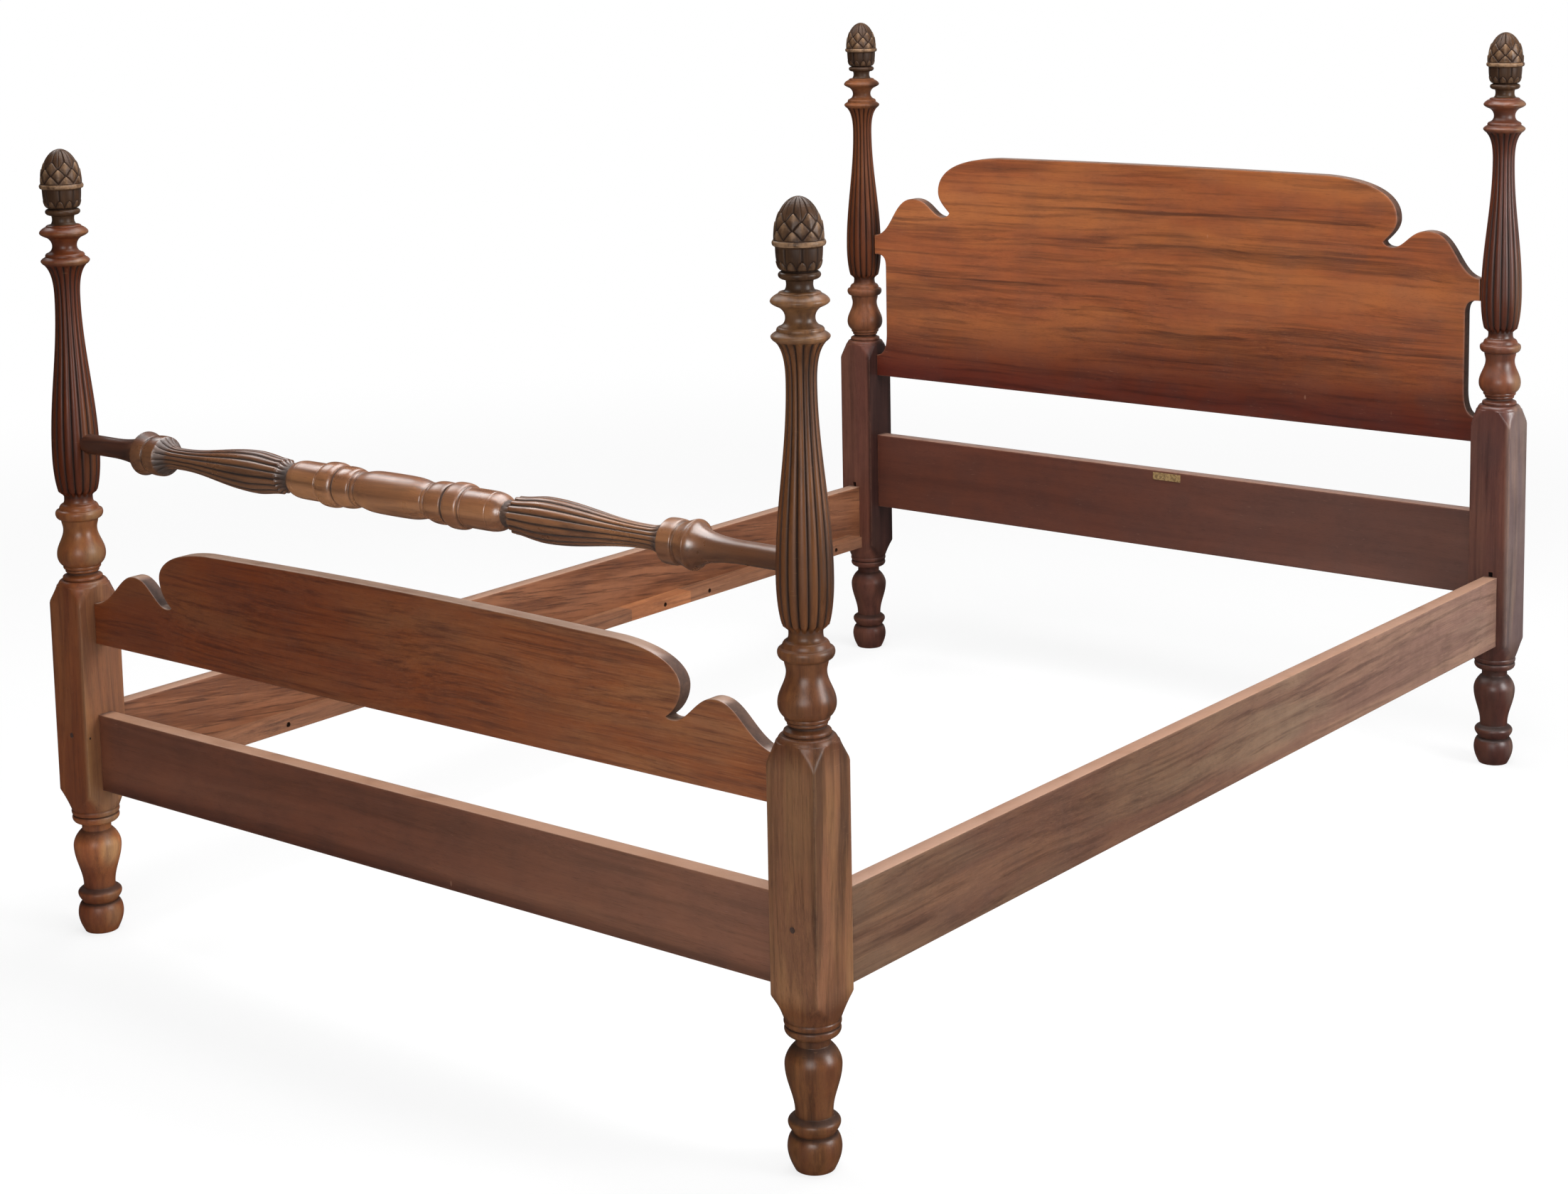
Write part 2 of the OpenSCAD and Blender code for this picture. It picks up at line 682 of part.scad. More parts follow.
at_post(-1, -1) catch_pins(-1);  // catch_pins_foot_left
at_post(1, -1) catch_pins(-1);  // catch_pins_foot_right
at_post(-1, 1) catch_pins(1);  // catch_pins_head_left
at_post(1, 1) catch_pins(1);  // catch_pins_head_right

at_post(-1, -1) rail_peg();  // rail_peg_left
at_post(1, -1) rail_peg();  // rail_peg_right
at_post(-1, -1) side_brads();

blank_plate();
plate_pins();
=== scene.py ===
"""Low four-post bed: reeded posts, carved finials, shaped boards, lift-off side rails.

Outlines are in millimetres, as on a turner's drawing; meshes are in metres.
"""
from math import cos, pi, radians, sin

import bmesh
import bpy
import numpy as np
from mathutils import Matrix, Vector


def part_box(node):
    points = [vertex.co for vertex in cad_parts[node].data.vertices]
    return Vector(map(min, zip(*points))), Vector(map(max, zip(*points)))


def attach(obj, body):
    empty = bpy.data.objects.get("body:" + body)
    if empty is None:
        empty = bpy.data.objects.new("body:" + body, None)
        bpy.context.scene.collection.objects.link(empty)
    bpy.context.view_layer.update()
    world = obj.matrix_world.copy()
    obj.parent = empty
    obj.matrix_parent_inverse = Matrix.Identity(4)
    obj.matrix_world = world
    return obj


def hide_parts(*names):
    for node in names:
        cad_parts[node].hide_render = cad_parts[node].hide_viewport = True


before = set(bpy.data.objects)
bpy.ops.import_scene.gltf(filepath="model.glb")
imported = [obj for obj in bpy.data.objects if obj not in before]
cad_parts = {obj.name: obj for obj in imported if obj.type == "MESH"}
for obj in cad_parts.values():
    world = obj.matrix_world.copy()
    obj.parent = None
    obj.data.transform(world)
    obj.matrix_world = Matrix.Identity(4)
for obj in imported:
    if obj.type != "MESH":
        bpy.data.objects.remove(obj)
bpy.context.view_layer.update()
MM = 0.001

# ------------------------------------------------------------------ sizes (mm)
HALF_SPAN = 700.0            # post axes across the bed
HALF_RUN = 1003.5            # post axes along the bed
HEAD_RISE = 98.0             # how much longer the head posts' blocks are
HALF_BLOCK = 37.0
CORNER_R = HALF_BLOCK * 2 ** 0.5 + 1
INNER_X = HALF_SPAN - HALF_BLOCK
RAIL_END = INNER_X - 0.2     # boards and rails stop just short of the blocks

FOOT_R, FOOT_H, FOOT_BELLY = 34.3, 47.0, 0.6
ANKLE_LOW, ANKLE_HIGH, ANKLE_R = 48.5, 70.5, 24.0
LEG_R, WAIST_R = 36.1, 22.1
BLOCK_LOW, BLOCK_HIGH = 229.0, 521.0
SHOULDER_LOW, SHOULDER_HIGH = 33.0, 36.0
COLLAR_LOW = BLOCK_LOW - SHOULDER_LOW - 26
NECK_HIGH, VASE_HIGH, SHAFT_HIGH, POST_HIGH = 570.0, 685.0, 1041.0, 1102.0
NECK_R, THROAT_R = 22.4, 21.3
VASE_R, VASE_H = 36.3, 115.0
BULB_R, BULB_LEVEL = 35.5, 68.0
SHAFT_R, SHAFT_H, FLARE_R = 19.0, 356.0, 31.0
CROWN_R = 35.5

CUP_Z, FINIAL_R, ACORN_H = 27.0, 32.6, 51.5
BEAD_Z = CUP_Z + 29.5
EGG_Z = BEAD_Z + 5.5

SLOT_X, SLOT_HALF, SLOT_DEPTH = 5.5, 3.5, 15.0     # the slots that take the rail hooks
SLOT_BARE = (345.0, 358.0)                         # what shows of a slot above its rail

BOARD_T, RAIL_T = 22.0, 26.0
BOARD_EASE, RAIL_EASE = 1.6, 1.2                   # how far their arrises are softened
HEADBOARD_LOW, HEADBOARD_TOP = 585.0, 1051.0
FOOTBOARD_LOW, FOOTBOARD_TOP = 463.0, 639.0
CREST_HALF = INNER_X - 158
BOARD_FOOT = 43.0
EAR_LOW = VASE_HIGH + HEAD_RISE + BULB_LEVEL - 12
EAR_HIGH = EAR_LOW + 39
EAR_X = HALF_SPAN - BULB_R - 0.1
WAIST_X = INNER_X - 26
FOOT_RAIL = (232.0, 352.0)
HEAD_RAIL = (308.0, 460.0)

BLANKET_Z, ROD_R, SWELL_R = 770.5, 15.0, 30.6
ROD_SCALE = EAR_X / 664

REEDS = 16                                         # round each shaft and bulb
POST_REED_DEPTH, RAIL_REED_DEPTH = 0.095, 0.11     # a groove's depth as a share of the radius
BULB_FROM, BULB_TO = 208.0, 486.0                  # the blanket rail's reeds, from its middle
SCALES, SCALE_H = 8, 11.5                          # round the acorn; from shoulder to tip
SCALE_TIPS = (33.0, 22.5, 12.0)                    # above the egg's foot, the top row first
CUP_PETALS, PETAL_H = 12, 10.0

# How strong each mark is, from 0 to 1: glazing, wear, painted shade, a painted dark reflection and
# painted highlight.
NARROWS_GLAZE_AND_SHADE = 0.9           # glazing and painted shade between two turned rings
HOLLOWS_GLAZE_AND_SHADE = 0.6           # glazing and painted shade in the broader waists
TOPS_DARK_REFLECTION = 0.85             # painted dark reflection on the upward faces of the legs
FLARES_SHADE = 0.8            # painted shade where the blanket rail's reeds run out
RUBBED_BLOCK = 0.28          # on the corners of the blocks
RIM_WEAR_AND_HIGHLIGHT = 0.55           # wear and painted highlight on the posts' rings


# ------------------------------------------------------------------ outlines
# Every outline point is [distance from the axis, height].
def mix(a, b, t):
    return a + (b - a) * t


def steps(n):
    return [i / n for i in range(n + 1)]


def bead(p, q, r):
    """A round bead from p to q that swells to the radius r between them."""
    swell = r - (p[0] + q[0]) / 2
    return [[mix(p[0], q[0], t) + swell * sin(pi * t),
             mix(p[1], q[1], (1 - cos(pi * t)) / 2)] for t in steps(24)]


def ogee(p, q):
    """A smooth S from p to q, upright at both ends."""
    return [[mix(p[0], q[0], (1 - cos(pi * t)) / 2), mix(p[1], q[1], t)] for t in steps(24)]


def dome(p, q):
    """Leaves p upright and arrives level at q."""
    return [[mix(q[0], p[0], cos(pi / 2 * t)), mix(p[1], q[1], sin(pi / 2 * t))]
            for t in steps(16)]


def curve(p, a, b, q, n=20):
    """A cubic curve with two handles."""
    return [[(1 - t) ** 3 * p[i] + 3 * (1 - t) ** 2 * t * a[i]
             + 3 * (1 - t) * t * t * b[i] + t ** 3 * q[i] for i in (0, 1)] for t in steps(n)]


def foot_outline():
    """Ball foot, ankle rings, leg vase and the double ring under the block."""
    ring, collar = ANKLE_LOW, COLLAR_LOW
    return ([[0, 0]]
            + curve([FOOT_R - 9, 0], [FOOT_R - 8, 3], [FOOT_R - 0.5, FOOT_H * FOOT_BELLY / 2],
                    [FOOT_R, FOOT_H * FOOT_BELLY])
            + dome([FOOT_R, FOOT_H * FOOT_BELLY], [FOOT_R - 8, FOOT_H])
            + curve([27.3, ring], [27.8, ring + 3], [33.2, ring + 7], [33.2, ring + 13])
            + curve([33.2, ring + 13], [33.2, ring + 17], [29, ring + 20], [ANKLE_R, ANKLE_HIGH])
            + ogee([ANKLE_R - 0.1, ANKLE_HIGH + 3], [LEG_R, collar - 33])
            + curve([LEG_R, collar - 33], [LEG_R, collar - 23], [29, collar - 12],
                    [WAIST_R, collar - 7])
            + [[WAIST_R, collar + 1.5], [23.8, collar + 2], [23.8, collar + 4]]
            + bead([26.5, collar + 4.5], [33, collar + 17.5], 35.3)
            + bead([33.2, collar + 18], [35.2, collar + 26], 36.2)
            + curve([35.3, collar + 26.5], [39, collar + 33], [40, BLOCK_LOW - 15],
                    [CORNER_R, BLOCK_LOW]))


def shoulder_outline(z):
    """From the corners of the block at z up to the neck, past two rings."""
    top = z + SHOULDER_HIGH
    return (curve([CORNER_R, z], [CORNER_R - 6, z + SHOULDER_HIGH / 3], [40.5, top - 12],
                  [39.5, top - 7])
            + bead([38, top - 6.5], [31.5, top + 1], 36.4)
            + bead([29, top + 1.5], [28, top + 7.5], 29.9)
            + [[24, top + 9.5], [NECK_R, top + 11], [NECK_R, top + 12.5]])


def vase_outline(z):
    """The vase above the neck and the collar under the shaft."""
    return (bead([24, z], [24.4, z + 4.5], 25.4)
            + bead([26, z + 5], [27.5, z + 10], 28.2)
            + curve([28.2, z + 10.5], [31, z + 12], [VASE_R, z + 18], [VASE_R, z + 27])
            + ogee([VASE_R, z + 28], [25.2, z + 67])
            + ogee([25.2, z + 67], [27.6, z + 81.5])
            + bead([28.6, z + 82], [32.3, z + 96.5], 35.4)
            + bead([30, z + 97.5], [24.4, z + 105.5], 28.8)
            + curve([23.6, z + 106], [21.8, z + 108], [THROAT_R, z + 110],
                    [THROAT_R, z + VASE_H]))


def shaft_outline(z):
    """The bulb and shaft that carry the reeds, flared at the top."""
    return (curve([THROAT_R, z + 2], [THROAT_R + 0.6, z + 4.5], [26, z + 7], [29, z + 9.5])
            + curve([29, z + 9.5], [31.5, z + 17], [BULB_R, z + 37], [BULB_R, z + BULB_LEVEL])
            + ogee([BULB_R, z + BULB_LEVEL], [SHAFT_R, z + SHAFT_H * 0.86])
            + curve([SHAFT_R, z + SHAFT_H * 0.86], [SHAFT_R, z + SHAFT_H * 0.93],
                    [22.5, z + SHAFT_H - 9], [FLARE_R, z + SHAFT_H]))


def crown_outline(z):
    """Two broad rings with a spool between them, under the finial."""
    top = z + POST_HIGH - SHAFT_HIGH
    rim = CROWN_R + 0.6
    return (curve([FLARE_R + 0.4, z + 0.5], [FLARE_R + 3, z + 2], [rim, z + 4.5],
                  [rim, z + 6.5])
            + curve([rim, z + 6.5], [rim, z + 8.5], [32, z + 11], [29.8, z + 12.2])
            + bead([28.6, z + 12.7], [25, z + 18.5], 28.8)
            + curve([23.5, z + 19.5], [16.6, z + 23], [16.2, z + 34], [23.5, z + 40])
            + curve([24.5, z + 41], [28.5, z + 43], [rim, z + 45.5], [rim, z + 49])
            + curve([rim, z + 49], [rim, z + 52], [31, z + 56], [27, z + 57.6])
            + bead([25.5, z + 58], [20, top], 25.5)
            + [[0, top]])


def post_outline(rise):
    return (foot_outline() + shoulder_outline(BLOCK_HIGH + rise)
            + vase_outline(NECK_HIGH + rise) + shaft_outline(VASE_HIGH + rise)
            + crown_outline(SHAFT_HIGH + rise))


def finial_outline():
    """Neck, bead and cup, then the ring and the egg of the acorn."""
    return (curve([19.8, 0], [16, 2], [15.6, 9], [17, 13])
            + bead([18.5, 14], [20.5, CUP_Z - 3], 25.8)
            + curve([21, CUP_Z - 2], [26.5, CUP_Z - 1], [28.8, CUP_Z + 6], [29.2, BEAD_Z - 3])
            + bead([29.4, BEAD_Z - 2.5], [30, BEAD_Z + 5], FINIAL_R)
            + dome([30.4, EGG_Z], [0, EGG_Z + ACORN_H]))


def blanket_outline():
    """Half of the rail from its middle out: barrel, rings, cylinder, bulb, trumpet and rod."""
    s = SWELL_R
    turned = (curve([s - 1.2, 0], [s - 1.2, 22], [29.3, 38], [27.8, 47])
              + curve([27.8, 47], [27, 51.5], [26, 58], [24, 63])
              + [[23.2, 64], [23.2, 66], [25.2, 66.5], [25.2, 70], [23.8, 70.6], [23.8, 74]]
              + bead([25.6, 75], [27, 104], 29.2)
              + [[24.2, 104.6], [24.2, 107.4]]
              + curve([26.6, 108], [28, 109], [s + 0.6, 110], [s + 1.2, 118])
              + curve([s + 1.2, 118], [s + 1.4, 126], [s + 1.2, 131], [30.6, 134.5])
              + [[29.2, 136], [26.7, 136.6], [26.7, 138.4], [27.3, 138.8], [27.3, 140.2],
                 [26.2, 140.6], [26.2, 141.8]]
              + bead([26.9, 142.2], [26.8, 186.4], 27.2)
              + [[26.2, 186.6], [26.2, 187.8], [26.6, 188]]
              + curve([26.6, 188], [26, 194], [24, 202], [19.2, 205.8])
              + ogee([19.2, 206], [17.6, 207.5])
              + dome([17.6, BULB_FROM], [25.5, 226])
              + ogee([25.5, 226], [s, 281])
              + ogee([s, 281], [16, 448])
              + curve([16, 456], [16, 474], [24, 481], [s - 1.8, BULB_TO])
              + bead([s - 1.6, BULB_TO + 0.5], [28.4, 508], s - 0.8)
              + [[25.8, 509], [25.8, 513]]
              + curve([27.5, 513.5], [29, 518], [31, 524], [s + 2, 529])
              + [[s + 2, 531], [31.4, 531.8]]
              + curve([30.4, 532.3], [23.5, 537], [ROD_R + 1, 553], [ROD_R, 600]))
    return ([[r, x * ROD_SCALE] for r, x in turned] + [[ROD_R, EAR_X], [ROD_R, EAR_X + 6]])


def eased(points, ease=0.45, flat=0.015, longest=7.0):
    """The outline with its corners rounded as by sandpaper, and no more points than it needs."""
    p = np.array(points, float)
    keep = np.concatenate([[True], np.linalg.norm(np.diff(p, axis=0), axis=1) > 1e-6])
    p = p[keep]

    # points at an even, close step, each averaged with its neighbours
    step = 0.2
    run = np.concatenate([[0], np.cumsum(np.linalg.norm(np.diff(p, axis=0), axis=1))])
    fine = np.linspace(0, run[-1], int(run[-1] / step) + 1)
    dense = np.stack([np.interp(fine, run, p[:, i]) for i in (0, 1)], axis=1)
    half = int(ease * 3 / step) + 1
    bell = np.exp(-0.5 * (np.arange(-half, half + 1) * step / ease) ** 2)
    bell /= bell.sum()
    padded = np.pad(dense, ((half, half), (0, 0)), mode="edge")
    soft = np.stack([np.convolve(padded[:, i], bell, "valid") for i in (0, 1)], axis=1)
    soft[0], soft[-1] = dense[0], dense[-1]

    # only the points that the shape needs, and none too far from the next
    kept = {0, len(soft) - 1}
    pending = [(0, len(soft) - 1)]
    while pending:
        a, b = pending.pop()
        if b - a < 2:
            continue
        chord = soft[b] - soft[a]
        length = np.linalg.norm(chord)
        away = soft[a + 1:b] - soft[a]
        if length > 1e-9:
            off = np.abs(away[:, 0] * chord[1] - away[:, 1] * chord[0]) / length
        else:
            off = np.linalg.norm(away, axis=1)
        far = int(off.argmax())
        if off[far] > flat:
            middle = a + 1 + far
        elif fine[b] - fine[a] > longest:
            middle = (a + b) // 2
        else:
            continue
        kept.add(middle)
        pending += [(a, middle), (middle, b)]
    return soft[sorted(kept)]


def relief(outline, reach=5.0, full=2.4):
    """How far each outline point stands proud of its neighbours (+) or behind them (-).

    It compares over reach mm and says 1 or -1 at a difference of full mm.
    """
    step = 0.5
    run = np.concatenate([[0], np.cumsum(np.linalg.norm(np.diff(outline, axis=0), axis=1))])
    fine = np.arange(0, run[-1], step)
    bell = np.exp(-0.5 * (np.arange(-4 * reach, 4 * reach + 1) * step / reach) ** 2)
    padded = np.pad(np.interp(fine, run, outline[:, 0]), int(4 * reach), mode="edge")
    broad = np.convolve(padded, bell / bell.sum(), "valid")
    return np.clip((outline[:, 0] - np.interp(run, fine, broad)) / full, -1, 1)[:, None]


# ------------------------------------------------------------------ meshes
def new_piece(name, points, faces, marks=None, sharp=38):
    """A piece from points in mm; marks are named values from 0 to 1 at its points."""
    mesh = bpy.data.meshes.new(name)
    mesh.from_pydata((np.asarray(points) * MM).tolist(), [], faces)
    mesh.update()
    for label, values in (marks or {}).items():
        layer = mesh.attributes.new(label, "FLOAT", "POINT")
        layer.data.foreach_set("value", np.asarray(values, np.float32))
    mesh.shade_smooth()
    mesh.set_sharp_from_angle(angle=radians(sharp))
    piece = bpy.data.objects.new(name, mesh)
    bpy.context.scene.collection.objects.link(piece)
    return piece


def round_grid(radius, level, turn, place):
    """Points and faces of a closed turned form: radius and level are (rings, columns)."""
    rings, columns = radius.shape
    local = np.stack([radius * np.cos(turn), radius * np.sin(turn), level], axis=-1)
    points = place(local.reshape(-1, 3))
    first = place(np.array([[0, 0, level[0].mean()]]))
    last = place(np.array([[0, 0, level[-1].mean()]]))
    faces = []
    for i in range(rings - 1):
        a, b = i * columns, (i + 1) * columns
        faces += [(a + j, a + (j + 1) % columns, b + (j + 1) % columns, b + j)
                  for j in range(columns)]
    low, high = rings * columns, rings * columns + 1
    top = (rings - 1) * columns
    faces += [((j + 1) % columns, j, low) for j in range(columns)]
    faces += [(top + j, top + (j + 1) % columns, high) for j in range(columns)]
    return np.concatenate([points, first, last]), faces


def capped(values):
    """Values on a round grid, with one more for each of the two end points."""
    return np.concatenate([values.reshape(-1), [0.0, 0.0]])


def reed_phase(turn, count):
    """From -1 to 1 across each reed, with the grooves at both ends."""
    return ((turn * count / (2 * pi)) % 1.0) * 2 - 1


def smooth(edge0, edge1, x):
    """0 before edge0, 1 past edge1 and a soft rise between them; the edges may be swapped."""
    t = np.clip((x - edge0) / (edge1 - edge0), 0, 1)
    return t * t * (3 - 2 * t)


# columns across one reed, close together at the grooves where the form bends most
REED_COLUMNS = [-0.96, -0.88, -0.76, -0.58, -0.3, 0, 0.3, 0.58, 0.76, 0.88, 0.96, 1.0]
REED_TURN = np.array([(k + (c + 1) / 2) * 2 * pi / REEDS
                      for k in range(REEDS) for c in REED_COLUMNS])[None, :]


def reed_groove(phase):
    """Depth of a groove from 0 on a reed's crown to its full value between two reeds."""
    return (1 - np.sqrt(1 - (0.985 * phase) ** 2)) / 0.827


def with_levels(outline, levels):
    """The outline with a point added at each of these levels."""
    rings = list(outline)
    for level in levels:
        at = next(i for i, ring in enumerate(rings) if ring[1] > level)
        below, above = rings[at - 1], rings[at]
        share = (level - below[1]) / (above[1] - below[1])
        rings.insert(at, below + (above - below) * share)
    return np.array(rings)


def square_bar(turn, half, crisp=60):
    """The radius of a square bar: half its width at the faces, more at the corners."""
    return half / (np.abs(np.cos(turn)) ** crisp + np.abs(np.sin(turn)) ** crisp) ** (1 / crisp)


def within_both(a, b, crisp=90.0):
    """The smaller of two radii, with a softened edge where they meet."""
    return (a ** -crisp + b ** -crisp) ** (-1 / crisp)


def post_piece(name, side, end, rise, stain):
    """stain: how deep the stain is on the leg, vase, shaft and crown, from 0 to 1."""
    slot_low, slot_high = SLOT_BARE
    outline = with_levels(eased(post_outline(rise))[1:-1],
                          [slot_low - 0.3, slot_low + 0.3, slot_high - 0.3, slot_high + 0.3])
    run_r, run_z = outline[:, 0], outline[:, 1]
    r, z = outline[:, 0:1], outline[:, 1:2]
    turn = REED_TURN
    phase = reed_phase(turn, REEDS)

    # the reeds of the shaft, whose lower ends are round tips
    low, high = VASE_HIGH + rise, SHAFT_HIGH + rise
    reeded = (z > low) & (z < high + 0.4)
    tip = 7.0 * phase ** 2 * (1 - smooth(low, low + 26, z))
    radius = np.where(reeded, np.interp(np.maximum(z - tip, low), run_z, run_r), r + 0 * turn)
    groove = reed_groove(phase)
    fade = smooth(low + 1, low + 9, z - tip)
    radius = radius - POST_REED_DEPTH * np.clip(radius, 18, 30) * fade * reeded * groove

    # the square block, turned off at its shoulders, and the slot above the side rail
    turned_block = within_both(radius, square_bar(turn, HALF_BLOCK))
    radius = np.where(z < NECK_HIGH + rise, turned_block, radius)
    slot = ((np.abs(radius * np.cos(turn) - side * SLOT_X) < SLOT_HALF)
            & (-end * np.sin(turn) > 0.7) & (z > slot_low) & (z < slot_high))
    radius = np.where(slot, radius * (1 - SLOT_DEPTH / HALF_BLOCK), radius)
    centre = np.array([side * HALF_SPAN, end * HALF_RUN, 0.0])
    points, faces = round_grid(radius, z + 0 * turn, turn, lambda p: p + centre)

    # dark glazing and painted shade in the grooves, narrows and hollows, painted shade in the
    # slot, and a painted dark reflection on the legs' upward faces
    between_tips = 0.6 * (1 - smooth(low, low + 9, z - tip))
    recess = reeded * np.maximum(smooth(0.04, 0.66, groove) * fade, between_tips)
    block = (z > BLOCK_LOW - 6) & (z < BLOCK_HIGH + rise + 6)
    turned = (1 - block) * (1 - reeded)
    proud = relief(outline) * turned
    broadly_proud = relief(outline, 10.0, 5.0) * turned
    # glazing and painted shade in the narrows; the slot above the side rail is filled with painted
    # shade
    recess = np.maximum(recess, np.maximum(NARROWS_GLAZE_AND_SHADE * smooth(0.15, 0.9, -proud), slot))
    recess = np.maximum(recess, HOLLOWS_GLAZE_AND_SHADE * smooth(0.1, 0.9, -broadly_proud))
    # painted dark reflection on the faces of the legs that look up
    upward = -np.gradient(run_r) / np.hypot(np.gradient(run_r), np.gradient(run_z))
    dark_reflection = smooth(0.25, 0.85, upward[:, None]) * (z < COLLAR_LOW + 30)
    recess = np.maximum(recess, TOPS_DARK_REFLECTION * dark_reflection)

    # worn corners on the blocks, worn rims with a painted highlight, and a stain that changes from
    # part to part
    corner = smooth(0.955, 1.0, radius / (HALF_BLOCK * 1.40))
    arris = np.maximum(RUBBED_BLOCK * corner * block, RIM_WEAR_AND_HIGHLIGHT * smooth(0.25, 1.0, proud))
    leg, vase, shaft, crown = stain
    toned = np.interp(z, [BLOCK_LOW - 16, BLOCK_LOW + 4, BLOCK_HIGH + rise - 4,
                          BLOCK_HIGH + rise + 24, low - 8, low + 2, high - 2, high + 4],
                      [leg, 0, 0, vase, vase, shaft, shaft, crown])
    return new_piece(name, points, faces,
                     {"recess": capped(recess), "arris": capped(arris),
                      "toned": capped(toned + 0 * turn)})


def scales(turn, height, tip, offset):
    """A row of pointed scales whose tips stand at one height.

    Gives how far inside a scale a point lies, how far below the tip, and how far across.
    """
    across = np.abs((((turn * SCALES / (2 * pi)) + offset) % 1.0) * 2 - 1)
    below = (tip - height) / SCALE_H
    inside = np.where(below > 0, np.clip(below, 0, 1) ** 0.8, -1.0) - across
    return inside, below, across


def carved_egg(turn, z, egg):
    """Folds and veins at the acorn's top, then rows of scales, each row over the last.

    Gives how far the carving stands out, in mm, and where the dark glazing and painted shade lie.
    """
    fold = np.abs(reed_phase(turn + pi / SCALES, SCALES))
    vein = np.abs(reed_phase(turn, SCALES))
    top = 1 - smooth(EGG_Z + 49, EGG_Z + 52.5, z)
    lift = 1.0 - 1.6 * smooth(0.80, 1.0, fold) * top - 0.8 * smooth(0.86, 1.0, vein) * top
    lift = lift * egg
    recess = egg * top * np.maximum(smooth(0.82, 0.98, fold), 0.7 * smooth(0.88, 1.0, vein))
    for row, tip in enumerate(SCALE_TIPS):
        inside, below, across = scales(turn, z - EGG_Z, tip, 0.5 * (row % 2))
        cover = smooth(0.0, 0.10, inside) * egg
        rim = np.exp(-(inside / 0.10) ** 2) * (below > -0.15) * (below < 1.05) * egg
        body = 2.0 - 0.75 * np.clip(below, 0, 2) + 0.5 * (1 - smooth(0.0, 0.5, across))
        lift = mix(lift, body, cover) - 1.0 * rim
        recess = np.clip(mix(recess, 0.30 * smooth(0.7, 1.7, below), cover) + rim, 0, 1)
    return lift, recess


def carved_cup(turn, z, bowl, lift, recess):
    """Leaves up the cup, parted by seams, with a ring of round petals over their feet.

    Adds to the lift and to the dark glazing and painted shade of the egg, and gives where the
    petals are too.
    """
    seam = np.abs(reed_phase(turn, SCALES))
    lift = lift + bowl * (0.7 - 1.5 * smooth(0.78, 1.0, seam))
    recess = np.maximum(recess, bowl * smooth(0.72, 0.98, seam))
    across = np.abs(reed_phase(turn, CUP_PETALS))
    inside = np.sqrt(np.clip((CUP_Z + PETAL_H - z) / PETAL_H, 0, 1)) - across
    petal = smooth(0.0, 0.2, inside) * bowl
    rim = np.exp(-(inside / 0.13) ** 2) * bowl * (z < CUP_Z + PETAL_H + 1)
    lift = mix(lift, 1.5 - 0.5 * across ** 2, petal) - 0.9 * rim
    recess = np.clip(mix(recess, 0, petal) + rim, 0, 1)
    # glazing and painted shade over the cup above its petals
    recess = np.maximum(recess, 0.45 * bowl * (1 - petal))
    return lift, recess, petal


def finial_piece(name, side, end, rise):
    outline = eased(finial_outline(), ease=0.3, flat=0.01, longest=0.8)[:-1]
    r, z = outline[:, 0:1], outline[:, 1:2]
    turn = (np.arange(240) * 2 * pi / 240)[None, :]
    egg = smooth(EGG_Z - 0.4, EGG_Z + 0.8, z)
    bowl = smooth(CUP_Z - 2.4, CUP_Z + 0.2, z) * (1 - smooth(BEAD_Z - 4, BEAD_Z - 2.5, z))
    lift, recess = carved_egg(turn, z, egg)
    lift, recess, petal = carved_cup(turn, z, bowl, lift, recess)

    radius = np.maximum(r + lift - 1.2 * np.maximum(egg, bowl), 0.4)
    centre = np.array([side * HALF_SPAN, end * HALF_RUN, POST_HIGH + rise])
    points, faces = round_grid(radius, z + 0 * turn, turn, lambda p: p + centre)
    # wear and painted highlight on the carving that stands out and on the bead ring
    raised_wear_and_highlight = np.clip((lift - 1.2) / 1.2, 0, 1) * np.maximum(egg, petal)
    ring = smooth(30.6, 32.0, r) * (1 - egg) * (z > CUP_Z)
    raised_wear_and_highlight = np.maximum(raised_wear_and_highlight, ring)
    return new_piece(name, points, faces,
                     {"recess": capped(recess), "arris": capped(raised_wear_and_highlight + 0 * turn)}, sharp=60)


